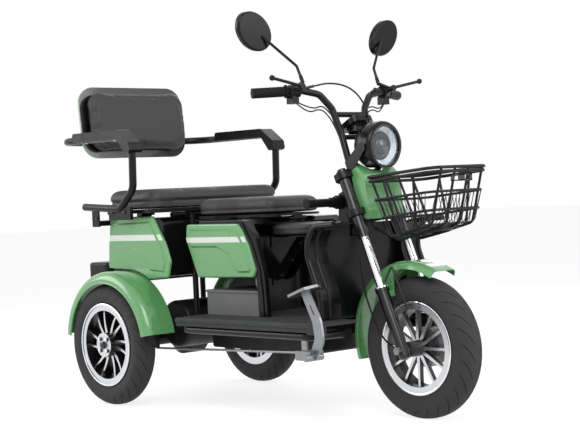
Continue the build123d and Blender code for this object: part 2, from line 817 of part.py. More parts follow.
def arm_points(sign):
    """Give one side's tube points, from the stub under the bench to the rear corner."""
    return [(x, sign * arm_half_spacing * k, z) for x, k, z in arm_route]


with BuildPart() as armrest_frame:
    right_points = arm_points(-1)
    left_points = arm_points(1)
    sweep_tube(right_points + left_points[::-1], arm_bends + arm_bends[::-1], arm_tube_radius)
    for sign in SIDES.values():
        block(
            (-524, sign * (arm_half_spacing - 4) - 6, bench_base_height - 20),
            (-396, sign * (arm_half_spacing - 4) + 6, bench_base_height + 24),
        )
        block(
            (rear_post_x - 20, sign * (arm_plate_y + 3) - 3, bench_base_height - 42),
            (rear_post_x + 20, sign * (arm_plate_y + 3) + 3, bench_base_height + 32),
        )
        with BuildSketch(backrest_plane.offset(-shell_thickness)):
            with Locations((sign * 95, 47)):
                Rectangle(40, 30)
        extrude(amount=-22)
save(armrest_frame, "armrest_frame")

for side, sign in SIDES.items():
    with BuildPart() as pad:
        with BuildSketch(side_plane(sign * arm_half_spacing)):
            with BuildLine():
                FilletPolyline(
                    (-690, arm_top - 8),
                    (-690, arm_top + 24),
                    (-420, arm_top + 22),
                    (arm_front + 16, arm_top - 26),
                    (arm_front + 22, arm_top - 58),
                    (arm_front - 8, arm_top - 62),
                    (arm_front - 50, arm_top - 10),
                    close=True,
                    radius=11,
                )
            make_face()
        extrude(amount=28, both=True)
        sweep_tube(arm_points(sign), arm_bends[:4], arm_tube_radius, mode=Mode.SUBTRACT)
    save(pad, f"armrest_pad_{side}")

# ---- leg shield, column cover and the child's hand grips -----------------------------------
cover_half_width = 38
shield_edge_radius = 10
shield_ridge_radius = 8
shield_ridge_inset = 34
shield_top = deck_top + 292
shield_curve = [
    (front_axle_x - 119, shield_top),
    (front_axle_x - 199, shield_top - 4),
    (front_axle_x - 247, shield_top - 67),
    (front_axle_x - 184, deck_top + 74),
    (front_axle_x - 184, deck_top),
]
shield_bends = [40, 90, 150]
with BuildPart() as legshield:
    block(
        (well_back, -well_half_width - shield_wall, deck_top),
        (well_back + shield_wall, well_half_width + shield_wall, shield_top - 4),
    )
    for sign in SIDES.values():
        with BuildSketch(side_plane(sign * well_half_width)):
            with BuildLine():
                FilletPolyline(*shield_curve[1:], radius=shield_bends[1:])
                Line(shield_curve[-1], (well_back, deck_top))
                Line((well_back, deck_top), (well_back, shield_top - 4))
                Line((well_back, shield_top - 4), shield_curve[1])
            make_face()
        extrude(amount=-sign * shield_wall)
        with BuildLine() as edge:
            FilletPolyline(
                *[(x, sign * shield_half_width, z) for x, z in shield_curve], radius=shield_bends
            )
        start = Plane(origin=edge.line @ 0, x_dir=(0, sign, 0), z_dir=edge.line % 0)
        with BuildSketch(start) as section:
            with Locations((-(shield_half_width - well_half_width) / 2, 0)):
                Rectangle(shield_half_width - well_half_width, shield_wall)
            Circle(shield_edge_radius)
            with Locations((-shield_ridge_inset, 0)):
                Circle(shield_ridge_radius)
        sweep(section.sketch, path=edge.line)
    block((well_back - 1, -cover_half_width - seating_gap, shield_top - 45),
          (well_back + shield_wall + 1, cover_half_width + seating_gap, shield_top + 5), mode=Mode.SUBTRACT)
save(legshield, "legshield")

cover_rear = well_back - 50
with BuildPart() as column_cover:
    with BuildSketch(side_plane(0)):
        with BuildLine():
            rear_top = fork_point(-100, 0, upper_yoke_height - 8)
            front_top = fork_point(-10, 0, upper_yoke_height - 8)
            front_low = fork_point(-10, 0, lower_yoke_height + 30)
            under = fork_point(-72, 0, lower_yoke_height + 30)
            Polyline(
                (rear_top.X, rear_top.Z),
                (front_top.X, front_top.Z),
                (front_low.X, front_low.Z),
                (under.X, under.Z),
                (well_back - seating_gap, shield_top - 4),
                (well_back - seating_gap, deck_top),
                (cover_rear, deck_top),
                (cover_rear, shield_top - 17),
                close=True,
            )
        make_face()
    extrude(amount=cover_half_width, both=True)
    fillet(column_cover.edges().filter_by(Axis.Y, reverse=True).group_by(Axis.X)[0], 8)
    with BuildSketch(side_plane(0)):
        with BuildLine():
            Polyline(
                (rear_top.X + 5, rear_top.Z + 2),
                (front_top.X + 20, front_top.Z + 10),
                (front_low.X + 10, front_low.Z - 4),
                (under.X + 10, under.Z - 8),
                (well_back + 10, shield_top - 17),
                (well_back + 10, deck_top - 1),
                (cover_rear + body_wall, deck_top - 1),
                (cover_rear + body_wall, shield_top - 18),
                close=True,
            )
        make_face()
    extrude(amount=cover_half_width - body_wall, both=True, mode=Mode.SUBTRACT)
save(column_cover, "column_cover")

handle_clamp = fork_point(-103, 0, upper_yoke_height - 33)
handle_reach = 182
with BuildPart() as child_handle:
    for sign in SIDES.values():
        inner = sign * (cover_half_width + seating_gap)
        for start, end, thickness in (
            (inner, sign * 50, 22),
            (sign * 50, sign * 62, 18),
            (sign * 62, sign * (handle_reach - 4), 13.5),
            (sign * (handle_reach - 6), sign * handle_reach, 16),
            (sign * 74, sign * 79, 16),
        ):
            rod((handle_clamp.X, start, handle_clamp.Z), (handle_clamp.X, end, handle_clamp.Z), thickness)
save(child_handle, "child_handle")

# ---- brake pedal with its rod to the rear axle ---------------------------------------------
pedal_y = -(deck_half_width + 12)
pedal_x = deck_front - 8
pedal_z = deck_top - 96
bracket_y = -(deck_half_width - 18)
with BuildPart() as brake_pedal:
    with BuildSketch(side_plane(pedal_y)):
        with BuildLine():
            FilletPolyline(
                (pedal_x - 17, pedal_z - 6), (pedal_x + 14, pedal_z - 8), (pedal_x + 50, pedal_z + 50),
                (pedal_x + 40, pedal_z + 112), (pedal_x - 8, pedal_z + 200), (pedal_x - 38, pedal_z + 191),
                (pedal_x + 6, pedal_z + 104), (pedal_x + 14, pedal_z + 56),
                close=True,
                radius=[10, 10, 40, 60, 4, 4, 50, 30],
            )
        make_face()
        with Locations((pedal_x + 8, pedal_z + 140)):
            SlotOverall(34, 5, rotation=122, mode=Mode.SUBTRACT)
    extrude(amount=4, both=True)
    pad_plane = Plane(
        origin=(pedal_x - 24, pedal_y, pedal_z + 191), x_dir=(0.95, 0, 0.31), z_dir=(-0.31, 0, 0.95)
    )
    with BuildSketch(pad_plane):
        with BuildLine():
            FilletPolyline(
                (-46, -34), (36, -38), (62, 0), (36, 38), (-46, 34), (-58, 0), close=True, radius=[14] * 6
            )
        make_face()
    extrude(amount=8)
    rod((pedal_x, pedal_y - 32, pedal_z), (pedal_x, pedal_y + 34, pedal_z), 11)
    block((pedal_x - 48, pedal_y - 29, pedal_z - 8), (pedal_x + 8, pedal_y - 23, pedal_z + 20))
    block((pedal_x - 80, bracket_y - 3, pedal_z - 8), (pedal_x + 8, bracket_y + 3, pedal_z + 20))
    block((pedal_x - 48, pedal_y - 29, pedal_z + 14), (pedal_x - 26, bracket_y, pedal_z + 20))
    block((pedal_x - 80, bracket_y - 3, pedal_z), (pedal_x - 58, bracket_y + 3,
          edge_tube_z - edge_tube_radius - seating_gap))
    rod((pedal_x - 66, bracket_y, pedal_z + 6), (pedal_x - 66, bracket_y + 22, pedal_z + 6), 7)
    rod((pedal_x - 66, bracket_y + 16, pedal_z + 6), (rear_axle_x + 70, -200, rear_tyre_radius - 26), 4)
save(brake_pedal, "brake_pedal")

# ---- fork -----------------------------------------------------------------------------------
with BuildPart() as front_axle:
    rod((front_axle_x, -118, front_tyre_radius), (front_axle_x, 118, front_tyre_radius), front_axle_radius)
    for sign in SIDES.values():
        with BuildSketch(side_plane(sign * (fork_half_spacing + slider_radius))):
            with Locations((front_axle_x, front_tyre_radius)):
                RegularPolygon(13, 6)
        extrude(amount=-sign * 10)
save(front_axle, "front_axle")

for side, sign in SIDES.items():
    with BuildPart() as fork_leg:
        with BuildSketch(fork_plane.offset(-26)):
            with Locations((0, sign * fork_half_spacing)):
                Circle(slider_radius)
        extrude(amount=slider_length + 26)
        fillet(fork_leg.faces().sort_by(Axis.Z)[0].edges(), 8)
        with BuildSketch(fork_plane.offset(slider_length - 10)):
            with Locations((0, sign * fork_half_spacing)):
                Circle(slider_radius + 3)
        extrude(amount=14)
        with BuildSketch(fork_plane.offset(slider_length)):
            with Locations((0, sign * fork_half_spacing)):
                Circle(stanchion_radius)
        extrude(amount=fork_height - slider_length)
        with BuildSketch(fork_plane.offset(slider_length + chrome_length)):
            with Locations((0, sign * fork_half_spacing)):
                Circle(cover_radius)
        extrude(amount=fork_height - slider_length - chrome_length - 6)
        with BuildSketch(side_plane(0)):
            with Locations((front_axle_x, front_tyre_radius)):
                Circle(front_axle_radius)
        extrude(amount=150, both=True, mode=Mode.SUBTRACT)
    save(fork_leg, f"fork_leg_{side}")

with BuildPart() as fork_crown:
    for height in (lower_yoke_height, upper_yoke_height):
        with BuildSketch(fork_plane.offset(height)):
            with Locations((0, fork_half_spacing), (0, -fork_half_spacing), (-fork_offset, 0)):
                Circle(29)
            make_hull()
            with Locations((0, fork_half_spacing), (0, -fork_half_spacing)):
                Circle(cover_radius, mode=Mode.SUBTRACT)
        extrude(amount=yoke_thickness)
    with BuildSketch(fork_plane.offset(lower_yoke_height)):
        with Locations((-fork_offset, 0)):
            Circle(stem_radius)
    extrude(amount=upper_yoke_height - lower_yoke_height + yoke_thickness + 8)
save(fork_crown, "fork_crown")

# ---- front fender ----------------------------------------------------------------------------
front_fender_x = front_axle_x - 13
front_fender_z = front_tyre_radius + 28
with BuildPart() as front_fender:
    with BuildSketch(radial_plane(front_fender_x, 0, front_fender_z, 108)):
        with BuildLine():
            FilletPolyline(
                (-front_fender_half_width, front_fender_radius - 24),
                (-front_fender_half_width + 8, front_fender_radius),
                (front_fender_half_width - 8, front_fender_radius),
                (front_fender_half_width, front_fender_radius - 24),
                radius=18,
            )
            offset(amount=fender_wall, side=Side.RIGHT)
        make_face()
    revolve(axis=Axis((front_fender_x, 0, front_fender_z), (0, 1, 0)), revolution_arc=137)
    for sign in SIDES.values():
        with BuildSketch(fork_plane.offset(170)):
            with Locations((0, sign * (front_fender_half_width + 10))):
                Rectangle(26, 22)
            with Locations((0, sign * fork_half_spacing)):
                Circle(slider_radius, mode=Mode.SUBTRACT)
        extrude(amount=18)
        foot = fork_point(0, 0, 179)
        with BuildSketch(side_plane(sign * (front_fender_half_width - 1))):
            with BuildLine():
                Polyline(
                    (foot.X - 12, foot.Z - 6),
                    (foot.X + 12, foot.Z - 2),
                    (foot.X + 10, front_fender_z + front_fender_radius - 22),
                    (foot.X - 50, front_fender_z + front_fender_radius - 34),
                    close=True,
                )
            make_face()
        extrude(amount=-sign * 4)
save(front_fender, "front_fender")

# ---- handlebar, grips, controls, mirrors ---------------------------------------------------
bar_foot = fork_point(0, 0, upper_yoke_height + yoke_thickness)
bar_spread = 60


def bar_point(ahead, y, above):
    """Give a place by its distance ahead of and above the foot of the handlebar."""
    return (bar_foot.X + ahead, y, bar_foot.Z + above)


bar_half = [(12, 60, -2), (-27, 60, 123), (-53, 72, 208), (-66, 112, 253), (-77, 178, 265), (-143, 319, 260)]
bar_bends = [60, 34, 34, 60]
with BuildPart() as handlebar:
    for sign in SIDES.values():
        sweep_tube([bar_point(x, sign * y, z) for x, y, z in bar_half], bar_bends, bar_radius)
        block(bar_point(-10, sign * bar_spread - 14, -22), bar_point(26, sign * bar_spread + 14, 8))
    rod(bar_point(-44, -bar_spread - 4, 188), bar_point(-44, bar_spread + 4, 188), 9)
    rod(bar_point(-27, -bar_spread, 115), bar_point(-27, bar_spread, 115), 8)
    with BuildSketch(fork_plane.offset(upper_yoke_height + yoke_thickness)):
        Rectangle(400, 400)
    extrude(amount=-60, mode=Mode.SUBTRACT)
    with BuildSketch(fork_plane.offset(upper_yoke_height)):
        with Locations((0, fork_half_spacing), (0, -fork_half_spacing)):
            Circle(cover_radius + 0.2)
        with Locations((-fork_offset, 0)):
            Circle(stem_radius + 0.2)
    extrude(amount=60, mode=Mode.SUBTRACT)
save(handlebar, "handlebar")

grip_way = (Vector(*bar_half[-1]) - Vector(*bar_half[-2])).normalized()
for side, sign in SIDES.items():
    way = Vector(grip_way.X, sign * grip_way.Y, grip_way.Z)
    end = Vector(*bar_point(bar_half[-1][0], sign * bar_half[-1][1], bar_half[-1][2]))
    with BuildPart() as grip:
        with BuildSketch(Plane(origin=end + way * 4, z_dir=way)):
            Circle(grip_radius)
        extrude(amount=-grip_length)
        with BuildSketch(Plane(origin=end, z_dir=way)):
            Circle(bar_radius)
        extrude(amount=-grip_length, mode=Mode.SUBTRACT)
        with BuildSketch(Plane(origin=end + way * (4 - grip_length), z_dir=way)):
            Circle(grip_radius + 5)
            Circle(bar_radius, mode=Mode.SUBTRACT)
        extrude(amount=5)
    save(grip, f"grip_{side}")

    clamp = end - way * (grip_length + 4)
    with BuildPart() as control:
        with BuildSketch(Plane(origin=clamp, z_dir=way)):
            Circle(grip_radius + 4)
            Circle(bar_radius, mode=Mode.SUBTRACT)
        extrude(amount=-34)
        lever_root = clamp - way * 14 + Vector(26, 0, 6)
        lever_tip = Vector(*bar_point(-43, sign * 326, 299))
        rod(tuple(lever_root - Vector(9, 0, 0)), tuple(lever_root + Vector(22, 0, 6)), 10)
        rod(tuple(lever_root + Vector(16, 0, 6)), tuple(lever_tip), 5)
        with Locations(tuple(lever_tip)):
            Sphere(9)
        stem_foot = Vector(*bar_point(-87, sign * 169, 312))
        stem_way = (Vector(*bar_point(-100, sign * 171, 344)) - stem_foot).normalized()
        rod(tuple(stem_foot - stem_way * 24), tuple(stem_foot), 6)
        rod(tuple(lever_root + Vector(-6, 0, 8)), tuple(stem_foot - stem_way * 22), 6)
        pod = clamp - way * 14 + Vector(-4, 0, -grip_radius - 12)
        block(tuple(pod - Vector(15, 13, 12)), tuple(pod + Vector(15, 13, 14)))
        rod(tuple(end - way * (grip_length - 4)), tuple(end - way * (grip_length + 40)), bar_radius + running_clearance,
            mode=Mode.SUBTRACT)
    save(control, f"control_{side}")

    mirror_plane = Plane(
        origin=bar_point(-162, sign * 288, 455),
        x_dir=(0.12, sign * 0.8, 0.6),
        z_dir=(-0.98, sign * -0.08, 0.12),
    )
    with BuildPart() as rear_mirror:
        with BuildSketch(mirror_plane.offset(-9)):
            Ellipse(72, 54)
        extrude(amount=18)
        fillet(rear_mirror.faces().sort_by(Axis(mirror_plane.origin, mirror_plane.z_dir))[0].edges(), 7)
        sweep_tube(
            [bar_point(-87, sign * 169, 312), bar_point(-100, sign * 171, 344), bar_point(-153, sign * 262, 439)],
            14,
            4.5,
        )
    save(rear_mirror, f"mirror_{side}")

# ---- display, headlight, fairing -----------------------------------------------------------
display_plane = Plane(origin=bar_point(-16, 0, 148), x_dir=(0, 1, 0), z_dir=(-0.45, 0, 0.9))
with BuildPart() as display:
    with BuildSketch(display_plane):
        RectangleRounded(92, 84, 22)
    extrude(amount=18)
    with BuildSketch(display_plane):
        RectangleRounded(70, 44, 12)
    extrude(amount=-16.4)
save(display, "display")

headlight_plane = Plane(origin=bar_point(106, 0, 81), x_dir=(0, 1, 0), z_dir=(0.995, 0, -0.05))
with BuildPart() as headlight:
    with BuildSketch(Plane(origin=headlight_plane.origin, x_dir=headlight_plane.z_dir, z_dir=(0, -1, 0))):
        with BuildLine():
            Line((0, 0), (0, headlight_radius - 8))
            ThreePointArc((0, headlight_radius - 8), (-6, headlight_radius - 2), (-14, headlight_radius))
            Line((-14, headlight_radius), (-34, headlight_radius))
            ThreePointArc(
                (-34, headlight_radius), (20 - headlight_depth, headlight_radius * 0.72), (-headlight_depth, 0)
            )
            Line((-headlight_depth, 0), (0, 0))
        make_face()
    revolve(axis=Axis(headlight_plane.origin, headlight_plane.z_dir))
    with BuildSketch(headlight_plane):
        Circle(headlight_radius - 16)
    extrude(amount=-30, mode=Mode.SUBTRACT)
    for sign in SIDES.values():
        rod(bar_point(82, sign * 68, 81), bar_point(82, sign * 83, 81), 8)
        with BuildSketch(Plane(origin=bar_point(0, sign * 83, 0), x_dir=(1, 0, 0), z_dir=(0, -1, 0))):
            with BuildLine():
                Polyline((93, 89), (73, 93), (-19, 15), (-11, -15), (15, -15), (93, 71), close=True)
            make_face()
        extrude(amount=sign * 4)
    with BuildSketch(fork_plane.offset(slider_length)):
        with Locations((0, fork_half_spacing), (0, -fork_half_spacing)):
            Circle(cover_radius + running_clearance)
    extrude(amount=fork_height, mode=Mode.SUBTRACT)
    with BuildSketch(fork_plane.offset(upper_yoke_height - 20)):
        Rectangle(200, 260)
    extrude(amount=yoke_thickness + 20, mode=Mode.SUBTRACT)
save(headlight, "headlight")

with BuildPart() as headlight_lens:
    with BuildSketch(headlight_plane.offset(-8)):
        Circle(headlight_radius - 16)
    extrude(amount=4)
save(headlight_lens, "headlight_lens")

fairing_half_width = 78
fairing_wall = 4
crease_spread = 44
bar_foot_plane = Plane(origin=bar_foot, x_dir=(1, 0, 0), z_dir=(0, -1, 0))
with BuildPart() as fairing:
    with BuildSketch(bar_foot_plane):
        with BuildLine():
            FilletPolyline(
                (13, 43), (35, 33), (81, -5), (97, -117), (93, -145), (77, -140), (44, -77),
                close=True,
                radius=4,
            )
        make_face()
    extrude(amount=fairing_half_width, both=True)
    for sign in SIDES.values():
        with BuildSketch(Plane(origin=bar_point(0, sign * crease_spread, 0), x_dir=(1, 0, 0), z_dir=(0, -1, 0))):
            with BuildLine():
                Polyline((60, 10), (83, -7), (100, -117), (95, -143), (70, -100), close=True)
            make_face()
        extrude(amount=5, both=True, taper=30)
    with BuildSketch(bar_foot_plane):
        with BuildLine():
            Polyline((-11, 63), (35, 28), (77, -8), (92, -117), (88, -141), (59, -157), (-11, -57), close=True)
        make_face()
    extrude(amount=fairing_half_width - fairing_wall, both=True, mode=Mode.SUBTRACT)
    for height in (lower_yoke_height, upper_yoke_height):
        with BuildSketch(fork_plane.offset(height - 1)):
            with Locations((0, fork_half_spacing), (0, -fork_half_spacing), (-fork_offset, 0)):
                Circle(29 + seating_gap)
            make_hull()
        extrude(amount=yoke_thickness + 2, mode=Mode.SUBTRACT)
    with BuildSketch(fork_plane.offset(slider_length)):
        with Locations((0, fork_half_spacing), (0, -fork_half_spacing)):
            Circle(cover_radius + seating_gap)
    extrude(amount=fork_height, mode=Mode.SUBTRACT)
    with BuildSketch(headlight_plane.offset(20)):
        Circle(headlight_radius + seating_gap)
    extrude(amount=-140, mode=Mode.SUBTRACT)
save(fairing, "fairing")

# ---- basket on its carrier from the lower yoke ---------------------------------------------
carrier_root = fork_point(15, 0, lower_yoke_height - seating_gap)
carrier_foot = fork_point(15, 0, lower_yoke_height - 46)
basket_half_width = 125
rim_z = carrier_root.Z + 100
wire_radius = 4
carrier_radius = 6
basket_rear = carrier_root.X + 59
basket_front = basket_rear + 282
basket_floor_z = rim_z - 168
basket_rings = [
    (rim_z + 12, -5, 3, 5), (rim_z, 0, 0, 5), (rim_z - 58, 20, -14, 4), (rim_z - 112, 48, -26, 4),
]
hoop_spread = 46


def ring_points(drop_rear, drop_front, z_rear, z_front):
    """Give a ring's four corners."""
    low_x = basket_rear + drop_rear
    high_x = basket_front + drop_front
    return [
        (low_x, -basket_half_width, z_rear),
        (high_x, -basket_half_width, z_front),
        (high_x, basket_half_width, z_front),
        (low_x, basket_half_width, z_rear),
    ]


with BuildPart() as basket:
    for z, rear_shift, front_shift, wire in basket_rings:
        corners = ring_points(rear_shift, front_shift, z, z + 20)
        with BuildLine() as route:
            FilletPolyline(*corners, close=True, radius=42)
        with BuildSketch(Plane(origin=route.line @ 0, z_dir=route.line % 0)):
            Circle(wire)
        sweep(path=route.line)
    for k in (-0.72, -0.24, 0.24, 0.72):
        y = k * basket_half_width
        sweep_tube(
            [
                (basket_rear - 5, y, rim_z + 12),
                (basket_rear + 78, y, basket_floor_z - 6),
                (basket_front - 44, y, basket_floor_z + 32),
                (basket_front + 3, y, rim_z + 32),
            ],
            24,
            wire_radius,
        )
    for k in (0.28, 0.72):
        x_top = basket_rear + k * (basket_front - basket_rear)
        x_low = basket_rear + 78 + k * (basket_front - basket_rear - 122)
        z_low = basket_floor_z - 6 + k * 38
        sweep_tube(
            [
                (x_top, -basket_half_width, rim_z + 20 * k),
                (x_low, -basket_half_width + 14, z_low),
                (x_low, basket_half_width - 14, z_low),
                (x_top, basket_half_width, rim_z + 20 * k),
            ],
            24,
            wire_radius,
        )
    for sign in SIDES.values():
        sweep_tube(
            [
                (carrier_root.X, sign * hoop_spread, carrier_root.Z),
                (carrier_foot.X, sign * hoop_spread, carrier_foot.Z),
                (basket_rear + 62, sign * hoop_spread, basket_floor_z - 12),
                (basket_front - 70, sign * hoop_spread, basket_floor_z + 18),
                (basket_front - 70, 0, basket_floor_z + 18),
            ],
            [22, 30, 40],
            carrier_radius,
        )
save(basket, "basket")
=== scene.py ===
"""Electric tricycle: finishes, cushions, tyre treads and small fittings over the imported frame."""
import json
import math

import bmesh
import bpy
from mathutils import Matrix, Vector


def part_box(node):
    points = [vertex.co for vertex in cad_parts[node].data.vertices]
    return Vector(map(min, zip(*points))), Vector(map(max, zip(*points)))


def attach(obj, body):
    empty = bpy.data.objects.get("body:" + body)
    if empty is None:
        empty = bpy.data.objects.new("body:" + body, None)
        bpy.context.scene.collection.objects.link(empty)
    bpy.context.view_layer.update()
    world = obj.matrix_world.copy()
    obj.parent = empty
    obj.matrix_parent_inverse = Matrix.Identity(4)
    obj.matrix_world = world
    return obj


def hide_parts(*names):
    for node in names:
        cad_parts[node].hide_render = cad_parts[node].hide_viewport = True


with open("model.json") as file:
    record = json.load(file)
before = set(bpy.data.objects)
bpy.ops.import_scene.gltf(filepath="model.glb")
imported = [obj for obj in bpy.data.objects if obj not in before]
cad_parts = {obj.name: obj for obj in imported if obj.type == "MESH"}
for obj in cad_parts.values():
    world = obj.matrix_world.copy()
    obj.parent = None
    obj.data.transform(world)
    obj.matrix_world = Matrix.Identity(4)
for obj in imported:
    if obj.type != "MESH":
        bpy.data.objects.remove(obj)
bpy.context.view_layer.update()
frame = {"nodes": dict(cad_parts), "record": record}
nodes = frame["nodes"]

bl_info = {
    "name": "Electric Tricycle",
    "version": (1, 0, 0),
    "blender": (4, 5, 0),
    "location": "View3D > Sidebar > Tricycle",
    "description": "Finishes and details of an electric tricycle",
    "category": "Object",
}

SIDES = {"right": -1, "left": 1}
STEERED = "steering_assembly"
STEERING_AXIS = Vector(next(j for j in frame["record"]["behaviour"]["joints"] if j["name"] == "steering")["axis"])


# ---- values a user would change ---------------------------------------------------------------------

def length(name, description, default):
    """A length property in metres."""
    return bpy.props.FloatProperty(
        name=name, description=description, default=default, min=0.0, unit="LENGTH"
    )


def colour(name, description, default):
    """A colour property."""
    return bpy.props.FloatVectorProperty(
        name=name, description=description, default=default, size=3, subtype="COLOR", min=0.0, max=1.0
    )


def angle(name, description, degrees):
    """An angle property, given in degrees."""
    return bpy.props.FloatProperty(
        name=name, description=description, default=math.radians(degrees), subtype="ANGLE"
    )


class TrikeColours(bpy.types.PropertyGroup):
    """Colours of the tricycle's finishes."""

    green: colour("Green paint", "Body panels and fenders", (0.125, 0.37, 0.13))
    stripe: colour("Stripe", "Pinstripe on the body panels", (0.78, 0.82, 0.78))
    black: colour("Black plastic", "Moulded covers", (0.006, 0.006, 0.0068))
    leather: colour("Leather", "Saddle, bench and backrest", (0.004, 0.004, 0.0044))
    rubber: colour("Rubber", "Tyres and grips", (0.008, 0.008, 0.0085))
    deck: colour("Deck", "Ribbed foot deck", (0.035, 0.036, 0.038))
    battery: colour("Battery case", "Grey side plates", (0.16, 0.16, 0.165))
    metal: colour("Bare metal", "Alloy and steel", (0.62, 0.63, 0.65))


class TrikeView(bpy.types.PropertyGroup):
    """Where the camera stands and how the studio is lit."""

    azimuth: angle("Azimuth", "Camera angle round the tricycle from the rear", 48.08)
    elevation: angle("Elevation", "Camera angle above the floor", 0.945)
    roll: angle("Roll", "Tilt of the camera about its own axis", -2.743)
    distance: length("Distance", "Camera distance from its target", 4.865)
    target_height: length("Target height", "Height of the point the camera looks at", 0.624)
    target_forward: length("Target forward", "How far ahead of the middle that point lies", 0.062)
    focal_length: bpy.props.FloatProperty(
        name="Focal length", description="Focal length in millimetres", default=90.49, min=10.0
    )
    floor_size: length("Floor", "Side of the floor", 60.0)


class TrikeSizes(bpy.types.PropertyGroup):
    """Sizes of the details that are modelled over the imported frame."""

    rim_flange_radius: length("Rim flange radius", "Outer radius of the rim's edge", 0.144)
    rim_half_width: length("Rim half width", "Half the width between the rim's flanges", 0.030)
    tread_pitches: bpy.props.IntProperty(
        name="Tread pitches", description="Slanted grooves on each side of a tyre", default=26, min=8
    )
    groove_width: length("Groove width", "Width of a tread groove", 0.0045)
    groove_depth: length("Groove depth", "Depth of a tread groove", 0.0045)
    groove_lean: angle("Groove lean", "How far round the tyre a groove runs", 21.0)
    cushion_cell: length("Cushion cell", "Mesh size of the cushions", 0.006)
    basket_wires_across: bpy.props.IntProperty(
        name="Wires across", description="Thin wires spread over the basket's width", default=14, min=2
    )
    basket_wires_along: bpy.props.IntProperty(
        name="Wires along", description="Thin wires spread over the basket's length", default=13, min=2
    )
    basket_wire_radius: length("Wire radius", "Radius of the basket's thin wires", 0.0013)
    cable_radius: length("Cable radius", "Radius of the brake cables", 0.0028)


# ---- finishes -----------------------------------------------------------------------------------------

class Finish:
    """A principled material with short calls for the nodes that shape its surface."""

    def __init__(self, name, base, roughness, metallic=0.0, coat=0.0, specular=0.5):
        self.material = bpy.data.materials.new(name)
        self.material.use_nodes = True
        self.tree = self.material.node_tree
        self.shader = self.tree.nodes["Principled BSDF"]
        self.set("Base Color", (*base, 1.0))
        self.set("Roughness", roughness)
        self.set("Metallic", metallic)
        self.set("Coat Weight", coat)
        self.set("Coat Roughness", 0.06)
        self.set("Specular IOR Level", specular)
        self.base = base

    def set(self, socket, value):
        """Set one of the shader's own sockets."""
        self.shader.inputs[socket].default_value = value

    def node(self, kind, **sockets):
        """Add a node; a socket is a number, a colour or another node's output."""
        made = self.tree.nodes.new(kind)
        for key, value in sockets.items():
            self.feed(made, key.replace("_", " "), value)
        return made

    def feed(self, made, key, value):
        """Link an output to an input, or set the input."""
        socket = made.inputs[int(key)] if key.isdigit() else made.inputs[key]
        if isinstance(value, bpy.types.NodeSocket):
            self.tree.links.new(value, socket)
        else:
            socket.default_value = value

    def place(self, scale=(1.0, 1.0, 1.0), source="Object"):
        """Coordinates on the piece, stretched by scale."""
        coordinates = self.tree.nodes.new("ShaderNodeTexCoord")
        mapping = self.node("ShaderNodeMapping", Vector=coordinates.outputs[source], Scale=scale)
        return mapping.outputs["Vector"]

    def noise(self, scale, detail=3.0, vector=None, roughness=0.5):
        """Cloudy noise from 0 to 1."""
        made = self.node(
            "ShaderNodeTexNoise", Vector=vector or self.place(), Scale=scale, Detail=detail, Roughness=roughness
        )
        return made.outputs["Fac"]

    def cells(self, scale, vector=None):
        """Distance to the middle of the nearest cell."""
        made = self.node("ShaderNodeTexVoronoi", Vector=vector or self.place(), Scale=scale)
        return made.outputs["Distance"]

    def between(self, value, low, high, to_low=0.0, to_high=1.0):
        """Map a range of values to another, clamped."""
        made = self.node("ShaderNodeMapRange", Value=value)
        made.inputs["From Min"].default_value = low
        made.inputs["From Max"].default_value = high
        made.inputs["To Min"].default_value = to_low
        made.inputs["To Max"].default_value = to_high
        return made.outputs["Result"]

    def work(self, operation, first, second=0.0):
        """Arithmetic on two values."""
        made = self.tree.nodes.new("ShaderNodeMath")
        made.operation = operation
        self.feed(made, "0", first)
        self.feed(made, "1", second)
        return made.outputs[0]

    def axis(self, name, source="Object"):
        """One coordinate of the piece, or one part of its normal."""
        coordinates = self.tree.nodes.new("ShaderNodeTexCoord")
        split = self.node("ShaderNodeSeparateXYZ", Vector=coordinates.outputs[source])
        return split.outputs[name]

    def blend(self, factor, first, second):
        """Mix two colours by a factor."""
        made = self.tree.nodes.new("ShaderNodeMix")
        made.data_type = "RGBA"
        self.feed(made, "0", factor)
        for index, value in ((6, first), (7, second)):
            if isinstance(value, bpy.types.NodeSocket):
                self.tree.links.new(value, made.inputs[index])
            else:
                made.inputs[index].default_value = (*value, 1.0)
        return made.outputs[2]

    def paint(self, output):
        """Drive the base colour."""
        self.tree.links.new(output, self.shader.inputs["Base Color"])

    def rough(self, output):
        """Drive the roughness."""
        self.tree.links.new(output, self.shader.inputs["Roughness"])

    def bump(self, height, strength, distance):
        """Raise the surface by a height."""
        made = self.node("ShaderNodeBump", Height=height, Strength=strength, Distance=distance)
        self.tree.links.new(made.outputs["Normal"], self.shader.inputs["Normal"])

    def shade(self, amount, scale):
        """Vary the base colour softly by a share."""
        darker = tuple(c * (1.0 - amount) for c in self.base)
        lighter = tuple(min(1.0, c * (1.0 + amount)) for c in self.base)
        self.paint(self.blend(self.noise(scale), darker, lighter))


def paint_gloss(name, base):
    """Clear-coated paint with a faint orange peel."""
    finish = Finish(name, base, 0.32, coat=0.8)
    finish.shade(0.06, 6.0)
    finish.rough(finish.between(finish.noise(40.0), 0.3, 0.7, 0.26, 0.38))
    finish.bump(finish.noise(160.0, 2.0), 0.03, 0.001)
    return finish


def plastic(name, base, roughness, grain):
    """Moulded plastic; grain is how deep its fine texture is, in metres."""
    finish = Finish(name, base, roughness, specular=0.22)
    finish.shade(0.25, 9.0)
    finish.rough(finish.between(finish.noise(18.0, 5.0), 0.3, 0.7, roughness * 0.8, roughness * 1.25))
    finish.bump(finish.noise(900.0, 2.0), 0.15, grain)
    return finish


def metal(name, base, roughness, grain_scale=(1.0, 1.0, 1.0)):
    """Bare metal with a fine directional grain."""
    finish = Finish(name, base, roughness, metallic=1.0)
    grain = finish.noise(300.0, 4.0, finish.place(grain_scale))
    finish.rough(finish.between(grain, 0.3, 0.7, roughness * 0.75, roughness * 1.35))
    finish.shade(0.08, 30.0)
    return finish


